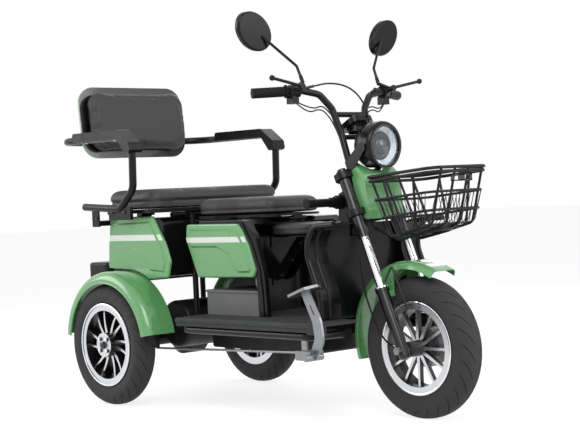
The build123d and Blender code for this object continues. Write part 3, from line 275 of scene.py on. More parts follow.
def leather(name, base):
    """Synthetic leather with a fine pebble."""
    finish = Finish(name, base, 0.36, specular=0.18)
    finish.set("Sheen Weight", 0.02)
    finish.set("Sheen Roughness", 0.4)
    finish.shade(0.3, 7.0)
    pebble = finish.cells(420.0)
    finish.rough(finish.between(finish.noise(25.0, 4.0), 0.3, 0.7, 0.28, 0.42))
    finish.bump(pebble, 0.18, 0.0004)
    return finish


def rubber(name, base):
    """Tyre rubber, dull with a little dust."""
    finish = Finish(name, base, 0.55, specular=0.16)
    finish.shade(0.35, 14.0)
    finish.rough(finish.between(finish.noise(60.0, 4.0), 0.3, 0.7, 0.46, 0.62))
    finish.bump(finish.noise(700.0, 3.0), 0.3, 0.0004)
    return finish


def striped_paint(name, base, stripe, low, high):
    """Gloss paint with one level white band between two heights."""
    finish = paint_gloss(name, base)
    height = finish.axis("Z")
    over = finish.work("GREATER_THAN", height, low)
    under = finish.work("LESS_THAN", height, high)
    outside = finish.work("GREATER_THAN", finish.work("ABSOLUTE", finish.axis("Y", "Normal")), 0.8)
    band = finish.work("MULTIPLY", finish.work("MULTIPLY", over, under), outside)
    finish.paint(finish.blend(band, base, stripe))
    return finish


def edged_paint(name, edge, front):
    """Gloss paint that shows at the edges and the back of a black-fronted shell."""
    finish = paint_gloss(name, edge)
    facing = finish.work("GREATER_THAN", finish.axis("X", "Normal"), 0.5)
    finish.paint(finish.blend(facing, edge, front))
    return finish


def machined_alloy(name, base, recess):
    """Wheel alloy: bright machined outer faces and black painted recesses."""
    finish = Finish(name, base, 0.28)
    facing = finish.work("ABSOLUTE", finish.axis("Y", "Normal"))
    machined = finish.between(facing, 0.9, 0.97)
    turned = finish.noise(500.0, 2.0, finish.place((1.0, 0.1, 1.0)))
    finish.paint(finish.blend(machined, recess, base))
    finish.rough(finish.between(turned, 0.3, 0.7, 0.22, 0.4))
    finish.tree.links.new(machined, finish.shader.inputs["Metallic"])
    return finish


def ribbed_deck_lit_tops(name, base):
    """Matte ribbed deck plastic, with painted light: the upward-facing rib tops are painted lighter."""
    finish = plastic(name, base, 0.55, 0.0004)
    # Painted top light: faces that point upward are mixed towards a lighter grey, standing in for light from above.
    top = finish.work("GREATER_THAN", finish.axis("Z", "Normal"), 0.7)
    lighter = tuple(min(1.0, c * 1.6) for c in base)
    finish.paint(finish.blend(finish.work("MULTIPLY", top, 0.6), base, lighter))
    return finish


def glossy(name, base, roughness):
    """Dark glass or lens plastic with a clear surface."""
    finish = Finish(name, base, roughness, coat=1.0)
    finish.shade(0.1, 25.0)
    finish.rough(finish.between(finish.noise(80.0), 0.3, 0.7, roughness, roughness * 1.6))
    return finish


def fork_tube(name, steel, black, axle, low, high):
    """Black fork leg, chromed between two distances up the fork from the axle."""
    finish = Finish(name, steel, 0.12)
    up = STEERING_AXIS
    along = finish.work(
        "ADD", finish.work("MULTIPLY", finish.axis("X"), up.x), finish.work("MULTIPLY", finish.axis("Z"), up.z)
    )
    along = finish.work("SUBTRACT", along, axle.dot(up))
    chromed = finish.work(
        "MULTIPLY", finish.work("GREATER_THAN", along, low), finish.work("LESS_THAN", along, high)
    )
    finish.paint(finish.blend(chromed, black, steel))
    grain = finish.between(finish.noise(200.0, 3.0, finish.place((1.0, 1.0, 0.1))), 0.3, 0.7, 0.08, 0.16)
    finish.rough(finish.work("ADD", grain, finish.work("MULTIPLY", finish.work("SUBTRACT", 1.0, chromed), 0.12)))
    finish.tree.links.new(chromed, finish.shader.inputs["Metallic"])
    return finish


def clear_glass(name):
    """Clear lamp glass."""
    finish = Finish(name, (0.9, 0.94, 0.97), 0.04)
    finish.set("Transmission Weight", 1.0)
    finish.set("IOR", 1.45)
    finish.bump(finish.noise(120.0), 0.02, 0.0005)
    return finish


def make_finishes(colours):
    """Every finish, by its name."""
    steel = tuple(colours.metal)
    black = tuple(colours.black)
    return {
        "green_paint": paint_gloss("green_paint", tuple(colours.green)),
        "rear_panel_paint": striped_paint(
            "rear_panel_paint", tuple(colours.green), tuple(colours.stripe), 0.566, 0.586
        ),
        "front_panel_paint": striped_paint(
            "front_panel_paint", tuple(colours.green), tuple(colours.stripe), 0.554, 0.572
        ),
        "backrest_paint": edged_paint("backrest_paint", tuple(colours.green), tuple(colours.leather)),
        "black_gloss": plastic("black_gloss", black, 0.22, 0.00005),
        "black_matte": plastic("black_matte", tuple(c * 1.2 for c in black), 0.38, 0.0002),
        "frame_black": plastic("frame_black", tuple(c * 1.1 for c in black), 0.3, 0.0001),
        "wire_black": plastic("wire_black", tuple(c * 1.4 for c in black), 0.4, 0.0001),
        "deck_grey": ribbed_deck_lit_tops("deck_grey", tuple(colours.deck)),
        "battery_grey": plastic("battery_grey", tuple(colours.battery), 0.42, 0.0002),
        "seat_black": leather("seat_black", tuple(colours.leather)),
        "tyre": rubber("tyre", tuple(colours.rubber)),
        "grip_rubber": rubber("grip_rubber", tuple(colours.rubber)),
        "alloy": machined_alloy("alloy", steel, black),
        "chrome": metal("chrome", tuple(min(1.0, c * 1.3) for c in steel), 0.1),
        "fork_tube": fork_tube(
            "fork_tube", tuple(min(1.0, c * 1.3) for c in steel), black, on_fork(0, 0, 0), 0.2, 0.37
        ),
        "pedal_steel": metal("pedal_steel", tuple(c * 0.42 for c in steel), 0.35),
        "axle_steel": plastic("axle_steel", tuple(c * 2.0 for c in black), 0.45, 0.0002),
        "lamp_glass": clear_glass("lamp_glass"),
        "bright_alloy": metal("bright_alloy", tuple(min(1.0, c * 1.25) for c in steel), 0.22),
        "lamp_silver": metal("lamp_silver", (0.86, 0.88, 0.9), 0.24),
        "projector_glass": glossy("projector_glass", (0.02, 0.022, 0.026), 0.03),
        "display_glass": glossy("display_glass", (0.012, 0.013, 0.015), 0.08),
        "mirror_glass": metal("mirror_glass", (0.9, 0.9, 0.92), 0.02),
        "lamp_red": glossy("lamp_red", (0.35, 0.008, 0.006), 0.12),
        "cable_black": plastic("cable_black", black, 0.35, 0.0001),
    }


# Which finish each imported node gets, where it isn't the slot's own.
NODE_FINISH = {
    "backrest_shell": "backrest_paint",
    "rear_panel_right": "rear_panel_paint",
    "rear_panel_left": "rear_panel_paint",
    "front_panel_right": "front_panel_paint",
    "front_panel_left": "front_panel_paint",
    "fork_leg_right": "fork_tube",
    "fork_leg_left": "fork_tube",
}


def finish_of(name):
    """A finish that the Finishes step has made."""
    return bpy.data.materials[name]


def dress(piece, finish, body):
    """Give a new piece its finish and the body it rides on."""
    piece.data.materials.clear()
    piece.data.materials.append(finish_of(finish))
    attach(piece, body)
    return piece


# ---- mesh helpers -------------------------------------------------------------------------------------

def to_piece(mesh_in_work, name, smooth=35.0):
    """Turn a bmesh into an object at the origin, smooth up to an angle in degrees."""
    bmesh.ops.recalc_face_normals(mesh_in_work, faces=mesh_in_work.faces)
    data = bpy.data.meshes.new(name)
    mesh_in_work.to_mesh(data)
    mesh_in_work.free()
    data.shade_smooth()
    data.set_sharp_from_angle(angle=math.radians(smooth))
    piece = bpy.data.objects.new(name, data)
    bpy.context.scene.collection.objects.link(piece)
    return piece


def look_at(start, end):
    """A matrix that stands local Z along the way from start to end, at the start."""
    way = Vector(end) - Vector(start)
    return Matrix.Translation(Vector(start)) @ way.to_track_quat("Z", "Y").to_matrix().to_4x4()


def spun(work, outline, matrix, steps=32, turn=math.tau):
    """Spin an outline of (radius, height) points about local Z and place it."""
    corners = [work.verts.new((radius, 0.0, height)) for radius, height in outline]
    edges = [work.edges.new(pair) for pair in zip(corners, corners[1:])]
    made = bmesh.ops.spin(
        work, geom=corners + edges, cent=(0, 0, 0), axis=(0, 0, 1), angle=turn, steps=steps,
        use_merge=abs(turn - math.tau) < 1e-6, use_duplicate=False,
    )
    found = set(corners)
    for item in made["geom_last"]:
        if isinstance(item, bmesh.types.BMVert):
            found.add(item)
    linked = connected(corners)
    bmesh.ops.transform(work, matrix=matrix, verts=linked)
    bmesh.ops.remove_doubles(work, verts=linked, dist=1e-6)


def on_fork(across, y, along):
    """A point stated square to the fork, across it and up it from the front axle."""
    low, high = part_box("front_axle")
    ahead = Vector((STEERING_AXIS.z, 0.0, -STEERING_AXIS.x))
    return (low + high) / 2 + ahead * across + Vector((0.0, y, 0.0)) + STEERING_AXIS * along


def connected(seeds):
    """Every vertex joined to the seeds by edges."""
    found = set(seeds)
    waiting = list(seeds)
    while waiting:
        vertex = waiting.pop()
        for edge in vertex.link_edges:
            other = edge.other_vert(vertex)
            if other not in found:
                found.add(other)
                waiting.append(other)
    return list(found)


# ---- tyres --------------------------------------------------------------------------------------------

def arc(first, middle, last, count):
    """Points in even steps along the arc through three points, both ends with them."""
    ax, ay = first
    bx, by = middle
    cx, cy = last
    double = 2.0 * (ax * (by - cy) + bx * (cy - ay) + cx * (ay - by))
    squares = [x * x + y * y for x, y in (first, middle, last)]
    ox = (squares[0] * (by - cy) + squares[1] * (cy - ay) + squares[2] * (ay - by)) / double
    oy = (squares[0] * (cx - bx) + squares[1] * (ax - cx) + squares[2] * (bx - ax)) / double
    radius = math.hypot(ax - ox, ay - oy)
    start = math.atan2(ay - oy, ax - ox)
    turn = math.remainder(math.atan2(cy - oy, cx - ox) - start, math.tau)
    return [
        (ox + radius * math.cos(start + turn * k / count), oy + radius * math.sin(start + turn * k / count))
        for k in range(count + 1)
    ]


class TRIKE_OT_tyres(bpy.types.Operator):
    """Model the three tyres with their long slanted tread grooves"""

    bl_idname = "trike.tyres"
    bl_label = "Tyres"

    def execute(self, context):
        sizes = context.scene.trike_sizes
        self.tyre("front_tyre", "front_wheel_body", sizes)
        self.tyre("rear_tyre_right", "rear_wheel_right_body", sizes)
        self.tyre("rear_tyre_left", "rear_wheel_left_body", sizes)
        return {"FINISHED"}

    def outline(self, half, radius, sizes):
        """One half of the tyre's section as (distance from the middle, radius), from the crown in."""
        flange = sizes.rim_flange_radius
        seat = sizes.rim_half_width
        shoulder = flange + 0.5 * (radius - flange)
        crown = arc((0.0, radius), (half * 0.74, radius - 0.010), (half, shoulder), 8)
        wall = arc((half, shoulder), (half - 0.003, (flange + shoulder) / 2), (seat, flange), 5)
        ribs = [(y + (0.0012 if k in (1, 3) else 0.0), r) for k, (y, r) in enumerate(wall[1:-1])]
        return crown + ribs + [(seat - 0.0005, flange - 0.001), (seat - 0.0005, flange - 0.015)]

    def tyre(self, node, body, sizes):
        low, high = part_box(node)
        centre = (low + high) / 2
        half = (high.y - low.y) / 2
        radius = (high.z - low.z) / 2
        right = self.outline(half, radius, sizes)
        whole = [(-y, r) for y, r in reversed(right[1:])] + right
        work = bmesh.new()
        columns = 4 * sizes.tread_pitches
        spun(work, [(r, y) for y, r in whole], Matrix.Identity(4), steps=columns)
        pitch = math.tau / sizes.tread_pitches
        narrow = sizes.groove_width / radius
        place = (0.0, narrow, pitch / 2, pitch / 2 + narrow)
        for vertex in work.verts:
            turned = math.atan2(vertex.co.y, vertex.co.x) % math.tau
            column = round(turned / (math.tau / columns)) % columns
            reach = math.hypot(vertex.co.x, vertex.co.y)
            lean = sizes.groove_lean * min(1.0, abs(vertex.co.z) / half)
            at = (column // 4) * pitch + place[column % 4] + lean
            vertex.co.x = reach * math.cos(at)
            vertex.co.y = reach * math.sin(at)
        self.cut_grooves(work, half, radius, pitch, narrow, sizes)
        bmesh.ops.transform(
            work, matrix=Matrix.Translation(centre) @ Matrix.Rotation(math.pi / 2, 4, "X"), verts=work.verts
        )
        piece = to_piece(work, f"{node}_treaded", 32.0)
        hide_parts(node)
        dress(piece, "tyre", body)

    def cut_grooves(self, work, half, radius, pitch, narrow, sizes):
        """Sink one slanted groove a pitch on each side of the crown."""
        grooves = []
        for face in work.faces:
            middle = face.calc_center_median()
            share = abs(middle.z) / half
            if not 0.14 < share < 0.985 or math.hypot(middle.x, middle.y) < radius - 0.031:
                continue
            turned = math.atan2(middle.y, middle.x) - sizes.groove_lean * min(1.0, share)
            within = turned % pitch
            start = 0.0 if middle.z > 0 else pitch / 2
            if abs(within - start - narrow / 2) < narrow * 0.3:
                grooves.append(face)
        made = bmesh.ops.extrude_face_region(work, geom=grooves)
        for item in made["geom"]:
            if isinstance(item, bmesh.types.BMVert):
                reach = math.hypot(item.co.x, item.co.y)
                shrink = (reach - sizes.groove_depth) / reach
                item.co.x *= shrink
                item.co.y *= shrink
        bmesh.ops.delete(work, geom=[f for f in grooves if f.is_valid], context="FACES")


# ---- cushions -----------------------------------------------------------------------------------------

def merged_copy(node, name, shrink):
    """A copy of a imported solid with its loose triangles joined, shrunk about its middle."""
    data = nodes[node].data.copy()
    work = bmesh.new()
    work.from_mesh(data)
    bpy.data.meshes.remove(data)
    bmesh.ops.remove_doubles(work, verts=work.verts, dist=1e-5)
    low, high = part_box(node)
    centre = (low + high) / 2
    for vertex in work.verts:
        away = vertex.co - centre
        vertex.co -= Vector([
            shrink * max(-1.0, min(1.0, away[k] / max(1e-6, (high[k] - low[k]) / 2))) for k in range(3)
        ])
    return to_piece(work, name, 60.0)


def finished_mesh(piece):
    """The piece's mesh with its modifiers applied."""
    depsgraph = bpy.context.evaluated_depsgraph_get()
    return bpy.data.meshes.new_from_object(piece.evaluated_get(depsgraph), depsgraph=depsgraph)


def swap_mesh(piece, data):
    """Give the piece a new mesh and clear its modifiers."""
    old = piece.data
    piece.modifiers.clear()
    piece.data = data
    bpy.data.meshes.remove(old)


def remeshed(piece, voxel):
    """Rebuild the piece's mesh in even cells."""
    remesh = piece.modifiers.new("remesh", "REMESH")
    remesh.mode = "VOXEL"
    remesh.voxel_size = voxel
    remesh.use_smooth_shade = True
    swap_mesh(piece, finished_mesh(piece))


def smoothed(piece, repeats):
    """Round the piece's edges by relaxing its mesh."""
    smooth = piece.modifiers.new("relax", "SMOOTH")
    smooth.factor = 0.5
    smooth.iterations = repeats
    swap_mesh(piece, finished_mesh(piece))


def inflated(piece, pressure, cap, flat_below):
    """Swell the piece by a pressure, each point moving no more than cap, and none below flat_below."""
    start = [vertex.co.copy() for vertex in piece.data.vertices]
    cloth = piece.modifiers.new("cloth", "CLOTH")
    settings = cloth.settings
    settings.quality = 4
    settings.mass = 0.3
    settings.tension_stiffness = 22.0
    settings.compression_stiffness = 22.0
    settings.bending_stiffness = 3.0
    settings.use_pressure = True
    settings.uniform_pressure_force = pressure
    settings.effector_weights.gravity = 0.0
    cloth.point_cache.frame_start = 1
    cloth.point_cache.frame_end = 20
    scene = bpy.context.scene
    for step in range(1, 21):
        scene.frame_set(step)
    data = finished_mesh(piece)
    scene.frame_set(1)
    for vertex, before in zip(data.vertices, start):
        moved = vertex.co - before
        if moved.length > cap:
            moved *= cap / moved.length
        share = min(1.0, max(0.0, (before.z - flat_below) / 0.012))
        vertex.co = before + moved * share
    swap_mesh(piece, data)


def pressed_in(piece, depth_at):
    """Move each point inward along its normal by what depth_at says for its place."""
    data = piece.data
    normals = [vertex.normal.copy() for vertex in data.vertices]
    for vertex, normal in zip(data.vertices, normals):
        depth = depth_at(vertex.co, normal)
        if depth:
            vertex.co -= normal * depth


def ridge(distance, width):
    """1 on a line and 0 at width from it, smoothly."""
    share = min(1.0, abs(distance) / width)
    return (1.0 - share * share) ** 2


class TRIKE_OT_cushions(bpy.types.Operator):
    """Swell the saddle, the bench, the backrest and the child's seat, and press their seams in"""

    bl_idname = "trike.cushions"
    bl_label = "Cushions"

    def execute(self, context):
        sizes = context.scene.trike_sizes
        self.pad("bench_cushion", "bench_lid_body", sizes.cushion_cell, 0.008, 0.72, self.bench_seams)
        self.pad("saddle_cushion", "saddle_lid_body", sizes.cushion_cell, 0.007, 0.68, self.saddle_seams)
        self.pad("backrest_cushion", "chassis", sizes.cushion_cell, 0.010, 0.62, self.backrest_seams)
        self.pad("child_seat", "chassis", 0.005, 0.005, 0.6, self.child_seams)
        return {"FINISHED"}

    def pad(self, node, body, cell, cap, fill, seams):
        low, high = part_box(node)
        piece = merged_copy(node, f"{node}_padded", cap * 0.7)
        remeshed(piece, cell)
        smoothed(piece, 6)
        inflated(piece, 4.0, cap, low.z if node != "backrest_cushion" else low.z - 1.0)
        seams(piece, low, high)
        rounder = piece.modifiers.new("rounder", "SUBSURF")
        rounder.levels = 1
        rounder.render_levels = 1
        swap_mesh(piece, finished_mesh(piece))
        piece.data.shade_smooth()
        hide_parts(node)
        dress(piece, "seat_black", body)

    def side_seam(self, piece, low, high, share, depth, width, lower=0.0):
        """Press a level seam in round the sides, and draw them in by lower under it."""
        seam = low.z + share * (high.z - low.z)

        def depth_at(place, normal):
            side = min(1.0, max(0.0, 1.0 - abs(normal.z) * 1.4))
            under = lower if place.z < seam else 0.0
            return side * (depth * ridge(place.z - seam, width) + under)

        pressed_in(piece, depth_at)

    def bench_seams(self, piece, low, high):
        self.side_seam(piece, low, high, 0.42, 0.0045, 0.006, lower=0.004)

    def saddle_seams(self, piece, low, high):
        self.side_seam(piece, low, high, 0.30, 0.004, 0.006)

    def child_seams(self, piece, low, high):
        self.side_seam(piece, low, high, 0.45, 0.002, 0.005)

    def backrest_seams(self, piece, low, high):
        middle = (low + high) / 2
        half_y = (high.y - low.y) / 2
        half_z = (high.z - low.z) / 2

        def depth(place, normal):
            if normal.x < 0.2:
                return 0.0
            out_y = half_y - 0.032 - abs(place.y - middle.y)
            out_z = half_z - 0.032 - abs(place.z - middle.z)
            inner = min(out_y, out_z)
            if out_y < 0.05 and out_z < 0.05:
                inner = 0.05 - math.hypot(0.05 - out_y, 0.05 - out_z)
            return 0.003 * ridge(inner, 0.006)

        pressed_in(piece, depth)


# ---- wheels' fittings ---------------------------------------------------------------------------------

def bolt_heads(name, places, radius, height, finish, body, sides=6):
    """Chamfered bolt or screw heads, each at a place and facing a direction."""
    work = bmesh.new()
    for place, facing in places:
        way = Vector(facing).normalized()
        matrix = look_at(Vector(place) + way * (height / 2 - 0.0005), Vector(place) + way)
        made = bmesh.ops.create_cone(
            work, cap_ends=True, segments=sides, radius1=radius, radius2=radius, depth=height, matrix=matrix
        )
        rim = {
            edge for vertex in made["verts"] for edge in vertex.link_edges
            if all((v.co - Vector(place)).dot(way) > height * 0.5 for v in edge.verts)
        }
        bmesh.ops.bevel(
            work, geom=list(rim), offset=height * 0.28, offset_type="OFFSET", segments=2,
            affect="EDGES", profile=0.5, material=-1,
        )
    return dress(to_piece(work, name, 40.0), finish, body)


def turned(name, outlines, centre, facing, finish, body, steps=40, smooth=35.0):
    """A piece turned about a line: outlines of (radius, height along facing) points."""
    work = bmesh.new()
    matrix = look_at(centre, Vector(centre) + Vector(facing))
    for outline in outlines:
        spun(work, outline, matrix, steps)
    return dress(to_piece(work, name, smooth), finish, body)


class TRIKE_OT_wheel_fittings(bpy.types.Operator):
    """Add the hub caps, wheel nuts, tyre valves, rim lips and front axle nuts"""

    bl_idname = "trike.wheel_fittings"
    bl_label = "Wheel fittings"

    def execute(self, context):
        for side, sign in SIDES.items():
            low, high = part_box(f"rear_wheel_{side}")
            middle = (low + high) / 2
            face = high.y if sign > 0 else low.y
            centre = (middle.x, face - sign * 0.0065, middle.z)
            body = f"rear_wheel_{side}_body"
            turned(
                f"hub_cap_{side}",
                [[(0.0, 0.012), (0.009, 0.0115), (0.0125, 0.009), (0.0135, 0.004), (0.0135, 0.0), (0.0, 0.0)]],
                centre, (0, sign, 0), "black_gloss", body, 28,
            )
            nuts = []
            for k in range(4):
                at = math.radians(45 + 90 * k)
                nuts.append((
                    (middle.x + 0.028 * math.cos(at), face - sign * 0.006, middle.z + 0.028 * math.sin(at)),
                    (0, sign, 0),
                ))
            bolt_heads(f"wheel_nuts_{side}", nuts, 0.0055, 0.009, "chrome", body)
            self.valve(f"valve_{side}", middle, 0.118, sign, body)
            self.rim_lines(f"rim_line_{side}", middle, sign, body)
        low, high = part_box("front_wheel")
        middle = (low + high) / 2
        self.valve("valve_front", middle, 0.118, -1, "front_wheel_body")
        for sign in SIDES.values():
            self.rim_lines("rim_line_front_right" if sign < 0 else "rim_line_front_left", middle, sign,
                           "front_wheel_body")
        ends = [
            (on_fork(0, sign * 0.112, 0), (0, sign, 0)) for sign in SIDES.values()
        ]
        bolt_heads("front_axle_nuts", ends, 0.012, 0.006, "axle_steel", STEERED)
        return {"FINISHED"}

    def valve(self, name, middle, reach, sign, body):
        at = math.radians(252)
        foot = Vector((middle.x + reach * math.cos(at), middle.y + sign * 0.018, middle.z + reach * math.sin(at)))
        way = Vector((-math.cos(at), sign * 0.5, -math.sin(at)))
        turned(
            name, [[(0.0, 0.0), (0.0045, 0.0), (0.004, 0.012), (0.0028, 0.014), (0.0028, 0.026), (0.0, 0.027)]],
            foot, way, "black_matte", body, 12,
        )

    def rim_lines(self, name, middle, sign, body):
        """The bright machined lip round the rim's edge."""
        work = bmesh.new()
        matrix = look_at(
            (middle.x, middle.y + sign * 0.0345, middle.z), (middle.x, middle.y + sign * 1.0, middle.z)
        )
        spun(work, [(0.1375, 0.0), (0.1375, 0.0008), (0.1405, 0.0015), (0.1435, 0.0005), (0.1435, 0.0)], matrix, 72)
        dress(to_piece(work, name, 30.0), "bright_alloy", body)


# ---- headlight and display ----------------------------------------------------------------------------

class TRIKE_OT_headlight(bpy.types.Operator):
    """Model the lamp's bright bowl, its dark barrel and the projector lens"""

    bl_idname = "trike.headlight"
    bl_label = "Headlight"

    def execute(self, context):
        low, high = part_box("headlight_lens")
        centre = (low + high) / 2
        facing = (0.995, 0.0, -0.05)
        turned(
            "lamp_bowl",
            [[(0.0608, -0.004), (0.0595, -0.009), (0.055, -0.0125), (0.048, -0.016), (0.0425, -0.021),
              (0.0425, -0.0225), (0.0608, -0.0225), (0.0608, -0.004)]],
            centre, facing, "lamp_silver", STEERED, 64,
        )
        turned(
            "lamp_barrel",
            [[(0.0425, -0.0225), (0.0425, -0.017), (0.040, -0.0155), (0.037, -0.0175), (0.031, -0.0195),
              (0.028, -0.0195), (0.0275, -0.023), (0.0425, -0.023)]],
            centre, facing, "black_gloss", STEERED, 64,
        )
        dome = [(0.0272 * math.cos(math.radians(a)), -0.0228 + 0.0145 * math.sin(math.radians(a)))
                for a in range(0, 91, 15)]
        turned("lamp_projector", [dome + [(0.0, -0.0232), (0.0272, -0.0232)]], centre, facing, "projector_glass",
               STEERED, 48)
        turned(
            "lamp_rim",
            [[(0.0615, -0.004), (0.0615, 0.0045), (0.0635, 0.0065), (0.0665, 0.0058), (0.068, 0.0035), (0.068, 0.001)]],
            centre, facing, "black_gloss", STEERED, 64,
        )
        self.display_glass()
        return {"FINISHED"}

    def display_glass(self):
        low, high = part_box("display")
        work = bmesh.new()
        centre = Vector(((low.x + high.x) / 2 - 0.0105, 0.0, high.z - 0.0155))
        facing = Vector((-0.447, 0.0, 0.894))
        matrix = look_at(centre, centre + facing)
        bmesh.ops.create_grid(work, x_segments=1, y_segments=1, size=1.0, matrix=matrix @ Matrix.Diagonal(
            (0.033, 0.036, 1.0, 1.0)))
        bmesh.ops.bevel(
            work, geom=list(work.verts), offset=0.012, offset_type="OFFSET", segments=5,
            affect="VERTICES", profile=0.5, material=-1,
        )
        made = bmesh.ops.extrude_face_region(work, geom=list(work.faces))
        moved = [item for item in made["geom"] if isinstance(item, bmesh.types.BMVert)]
        bmesh.ops.translate(work, verts=moved, vec=facing * 0.0012)
        dress(to_piece(work, "display_glass", 30.0), "display_glass", STEERED)


# ---- basket wires -------------------------------------------------------------------------------------

def wires(name, routes, radius, finish, body, order=3, sides=1):
    """Several round wires in one piece, each on a smooth spline through its corner points."""
    data = bpy.data.curves.new(name, "CURVE")
    data.dimensions = "3D"
    data.bevel_depth = radius
    data.bevel_resolution = sides
    data.resolution_u = 6
    data.use_fill_caps = True
    for route in routes:
        spline = data.splines.new("NURBS")
        spline.points.add(len(route) - 1)
        for point, place in zip(spline.points, route):
            point.co = (*place, 1.0)
        spline.order_u = order
        spline.use_endpoint_u = True
    curve = bpy.data.objects.new(f"{name}_route", data)
    bpy.context.scene.collection.objects.link(curve)
    depsgraph = bpy.context.evaluated_depsgraph_get()
    mesh = bpy.data.meshes.new_from_object(curve.evaluated_get(depsgraph), depsgraph=depsgraph)
    bpy.data.objects.remove(curve)
    bpy.data.curves.remove(data)
    mesh.name = name
    mesh.shade_smooth()
    piece = bpy.data.objects.new(name, mesh)
    bpy.context.scene.collection.objects.link(piece)
    return dress(piece, finish, body)


def bent(points, reach):
    """The points of a route with each corner cut, so a smooth spline keeps its straight runs."""
    made = [Vector(points[0])]
    for before, corner, after in zip(points, points[1:], points[2:]):
        corner = Vector(corner)
        back = Vector(before) - corner
        ahead = Vector(after) - corner
        near = min(reach, back.length * 0.45, ahead.length * 0.45)
        made += [corner + back.normalized() * near, corner, corner + ahead.normalized() * near]
    return made + [Vector(points[-1])]


class TRIKE_OT_basket_wires(bpy.types.Operator):
    """Weave the basket's thin wires and hang its blank plate"""

    bl_idname = "trike.basket_wires"
    bl_label = "Basket wires"

    def execute(self, context):
        sizes = context.scene.trike_sizes
        low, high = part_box("basket")
        rim = high.z - 0.037
        rear = high.x - 0.290
        front = high.x - 0.008
        floor = rim - 0.168
        half = (high.y - low.y) / 2 - 0.005
        routes = []
        count = sizes.basket_wires_across
        for k in range(count):
            share = -0.8 + 1.6 * k / (count - 1)
            if min(abs(share - s) for s in (-0.72, -0.24, 0.24, 0.72)) < 0.05:
                continue
            y = share * half
            routes.append(bent([
                (rear + 0.020, y, rim - 0.056), (rear + 0.076, y, floor - 0.001),
                (front - 0.044, y, floor + 0.037), (front - 0.012, y, rim - 0.036),
            ], 0.02))
        count = sizes.basket_wires_along
        for k in range(count):
            share = 0.22 + 0.70 * k / (count - 1)
            if min(abs(share - s) for s in (0.28, 0.72)) < 0.04:
                continue
            top = rear + 0.02 + share * (front - rear - 0.034)
            foot = rear + 0.078 + share * (front - rear - 0.122)
            level = floor - 0.001 + share * 0.038
            routes.append(bent([
                (top, -half + 0.001, rim - 0.056 + 0.02 * share), (foot, -half + 0.016, level),
                (foot, half - 0.016, level), (top, half - 0.001, rim - 0.056 + 0.02 * share),
            ], 0.02))
        wires("basket_mesh", routes, sizes.basket_wire_radius, "wire_black", STEERED)
        self.plate(front, rim)
        return {"FINISHED"}

    def plate(self, front, rim):
        """A blank plate with two slots, between the first two rings at the front."""
        work = bmesh.new()
        for y in (-0.0405, 0.0, 0.0405):
            bmesh.ops.create_cube(work, size=1.0, matrix=Matrix.Translation((front - 0.001, y, rim + 0.0)) @
                                  Matrix.Diagonal((0.003, 0.012 if y else 0.028, 0.020, 1.0)))
        for z in (rim - 0.0085, rim + 0.0085):
            bmesh.ops.create_cube(work, size=1.0, matrix=Matrix.Translation((front - 0.001, 0.0, z)) @
                                  Matrix.Diagonal((0.003, 0.093, 0.004, 1.0)))
        dress(to_piece(work, "basket_plate", 30.0), "black_matte", STEERED)


# ---- cables -------------------------------------------------------------------------------------------

class TRIKE_OT_cables(bpy.types.Operator):
    """Run the brake cables and the switch wires from the bars down behind the lamp"""

    bl_idname = "trike.cables"
    bl_label = "Cables"

    def execute(self, context):
        sizes = context.scene.trike_sizes
        thick = sizes.cable_radius
        for side, sign in SIDES.items():
            inner = 0.172 * sign
            if sign < 0:
                arch = [
                    (0.335, inner, 1.028), (0.345, -0.135, 1.036), (0.362, -0.085, 1.046), (0.392, -0.035, 1.035),
                    (0.418, -0.006, 1.000), (0.428, 0.012, 0.955), (0.430, 0.020, 0.900), (0.420, 0.026, 0.840),
                    (0.405, 0.030, 0.790),
                ]
            else:
                arch = [
                    (0.335, inner, 1.028), (0.350, 0.130, 1.030), (0.372, 0.085, 1.015), (0.395, 0.050, 0.985),
                    (0.408, 0.030, 0.945), (0.412, 0.018, 0.900), (0.408, 0.014, 0.845), (0.398, 0.012, 0.790),
                ]
            wires(f"brake_cable_{side}", [arch], thick, "cable_black", STEERED, sides=3)
            wires(f"cable_boot_{side}", [[arch[0], arch[1]]], thick * 1.7, "black_matte", STEERED, 2, 3)
            wires(
                f"switch_wires_{side}",
                [
                    [(0.330, sign * 0.190, 0.985), (0.352, sign * 0.150, 0.962), (0.352, sign * 0.112, 0.975),
                     (0.344, sign * 0.080, 0.962), (0.350, sign * 0.052, 0.930), (0.372, sign * 0.044, 0.870),
                     (0.386, sign * 0.046, 0.800)],
                    [(0.326, sign * 0.196, 0.985), (0.340, sign * 0.160, 0.950), (0.350, sign * 0.118, 0.966),
                     (0.349, sign * 0.084, 0.948), (0.356, sign * 0.058, 0.905), (0.380, sign * 0.052, 0.840),
                     (0.392, sign * 0.052, 0.790)],
                ],
                thick * 0.8, "cable_black", STEERED, sides=2,
            )
        wires(
            "front_brake_cable",
            [[on_fork(-0.060, -0.072, 0.330), on_fork(-0.085, -0.075, 0.250), on_fork(-0.095, -0.070, 0.160),
              on_fork(-0.080, -0.078, 0.080), on_fork(-0.050, -0.082, 0.030), on_fork(-0.022, -0.080, 0.004)]],
            thick, "cable_black", STEERED, sides=3,
        )
        wires(
            "fender_stay",
            [bent([on_fork(0.018, -0.088, 0.215), on_fork(0.060, -0.080, 0.250), on_fork(0.052, -0.066, 0.120),
                   on_fork(0.030, -0.064, 0.095)], 0.03)],
            0.0035, "frame_black", STEERED, sides=3,
        )
        return {"FINISHED"}


# ---- small fittings on the body -----------------------------------------------------------------------

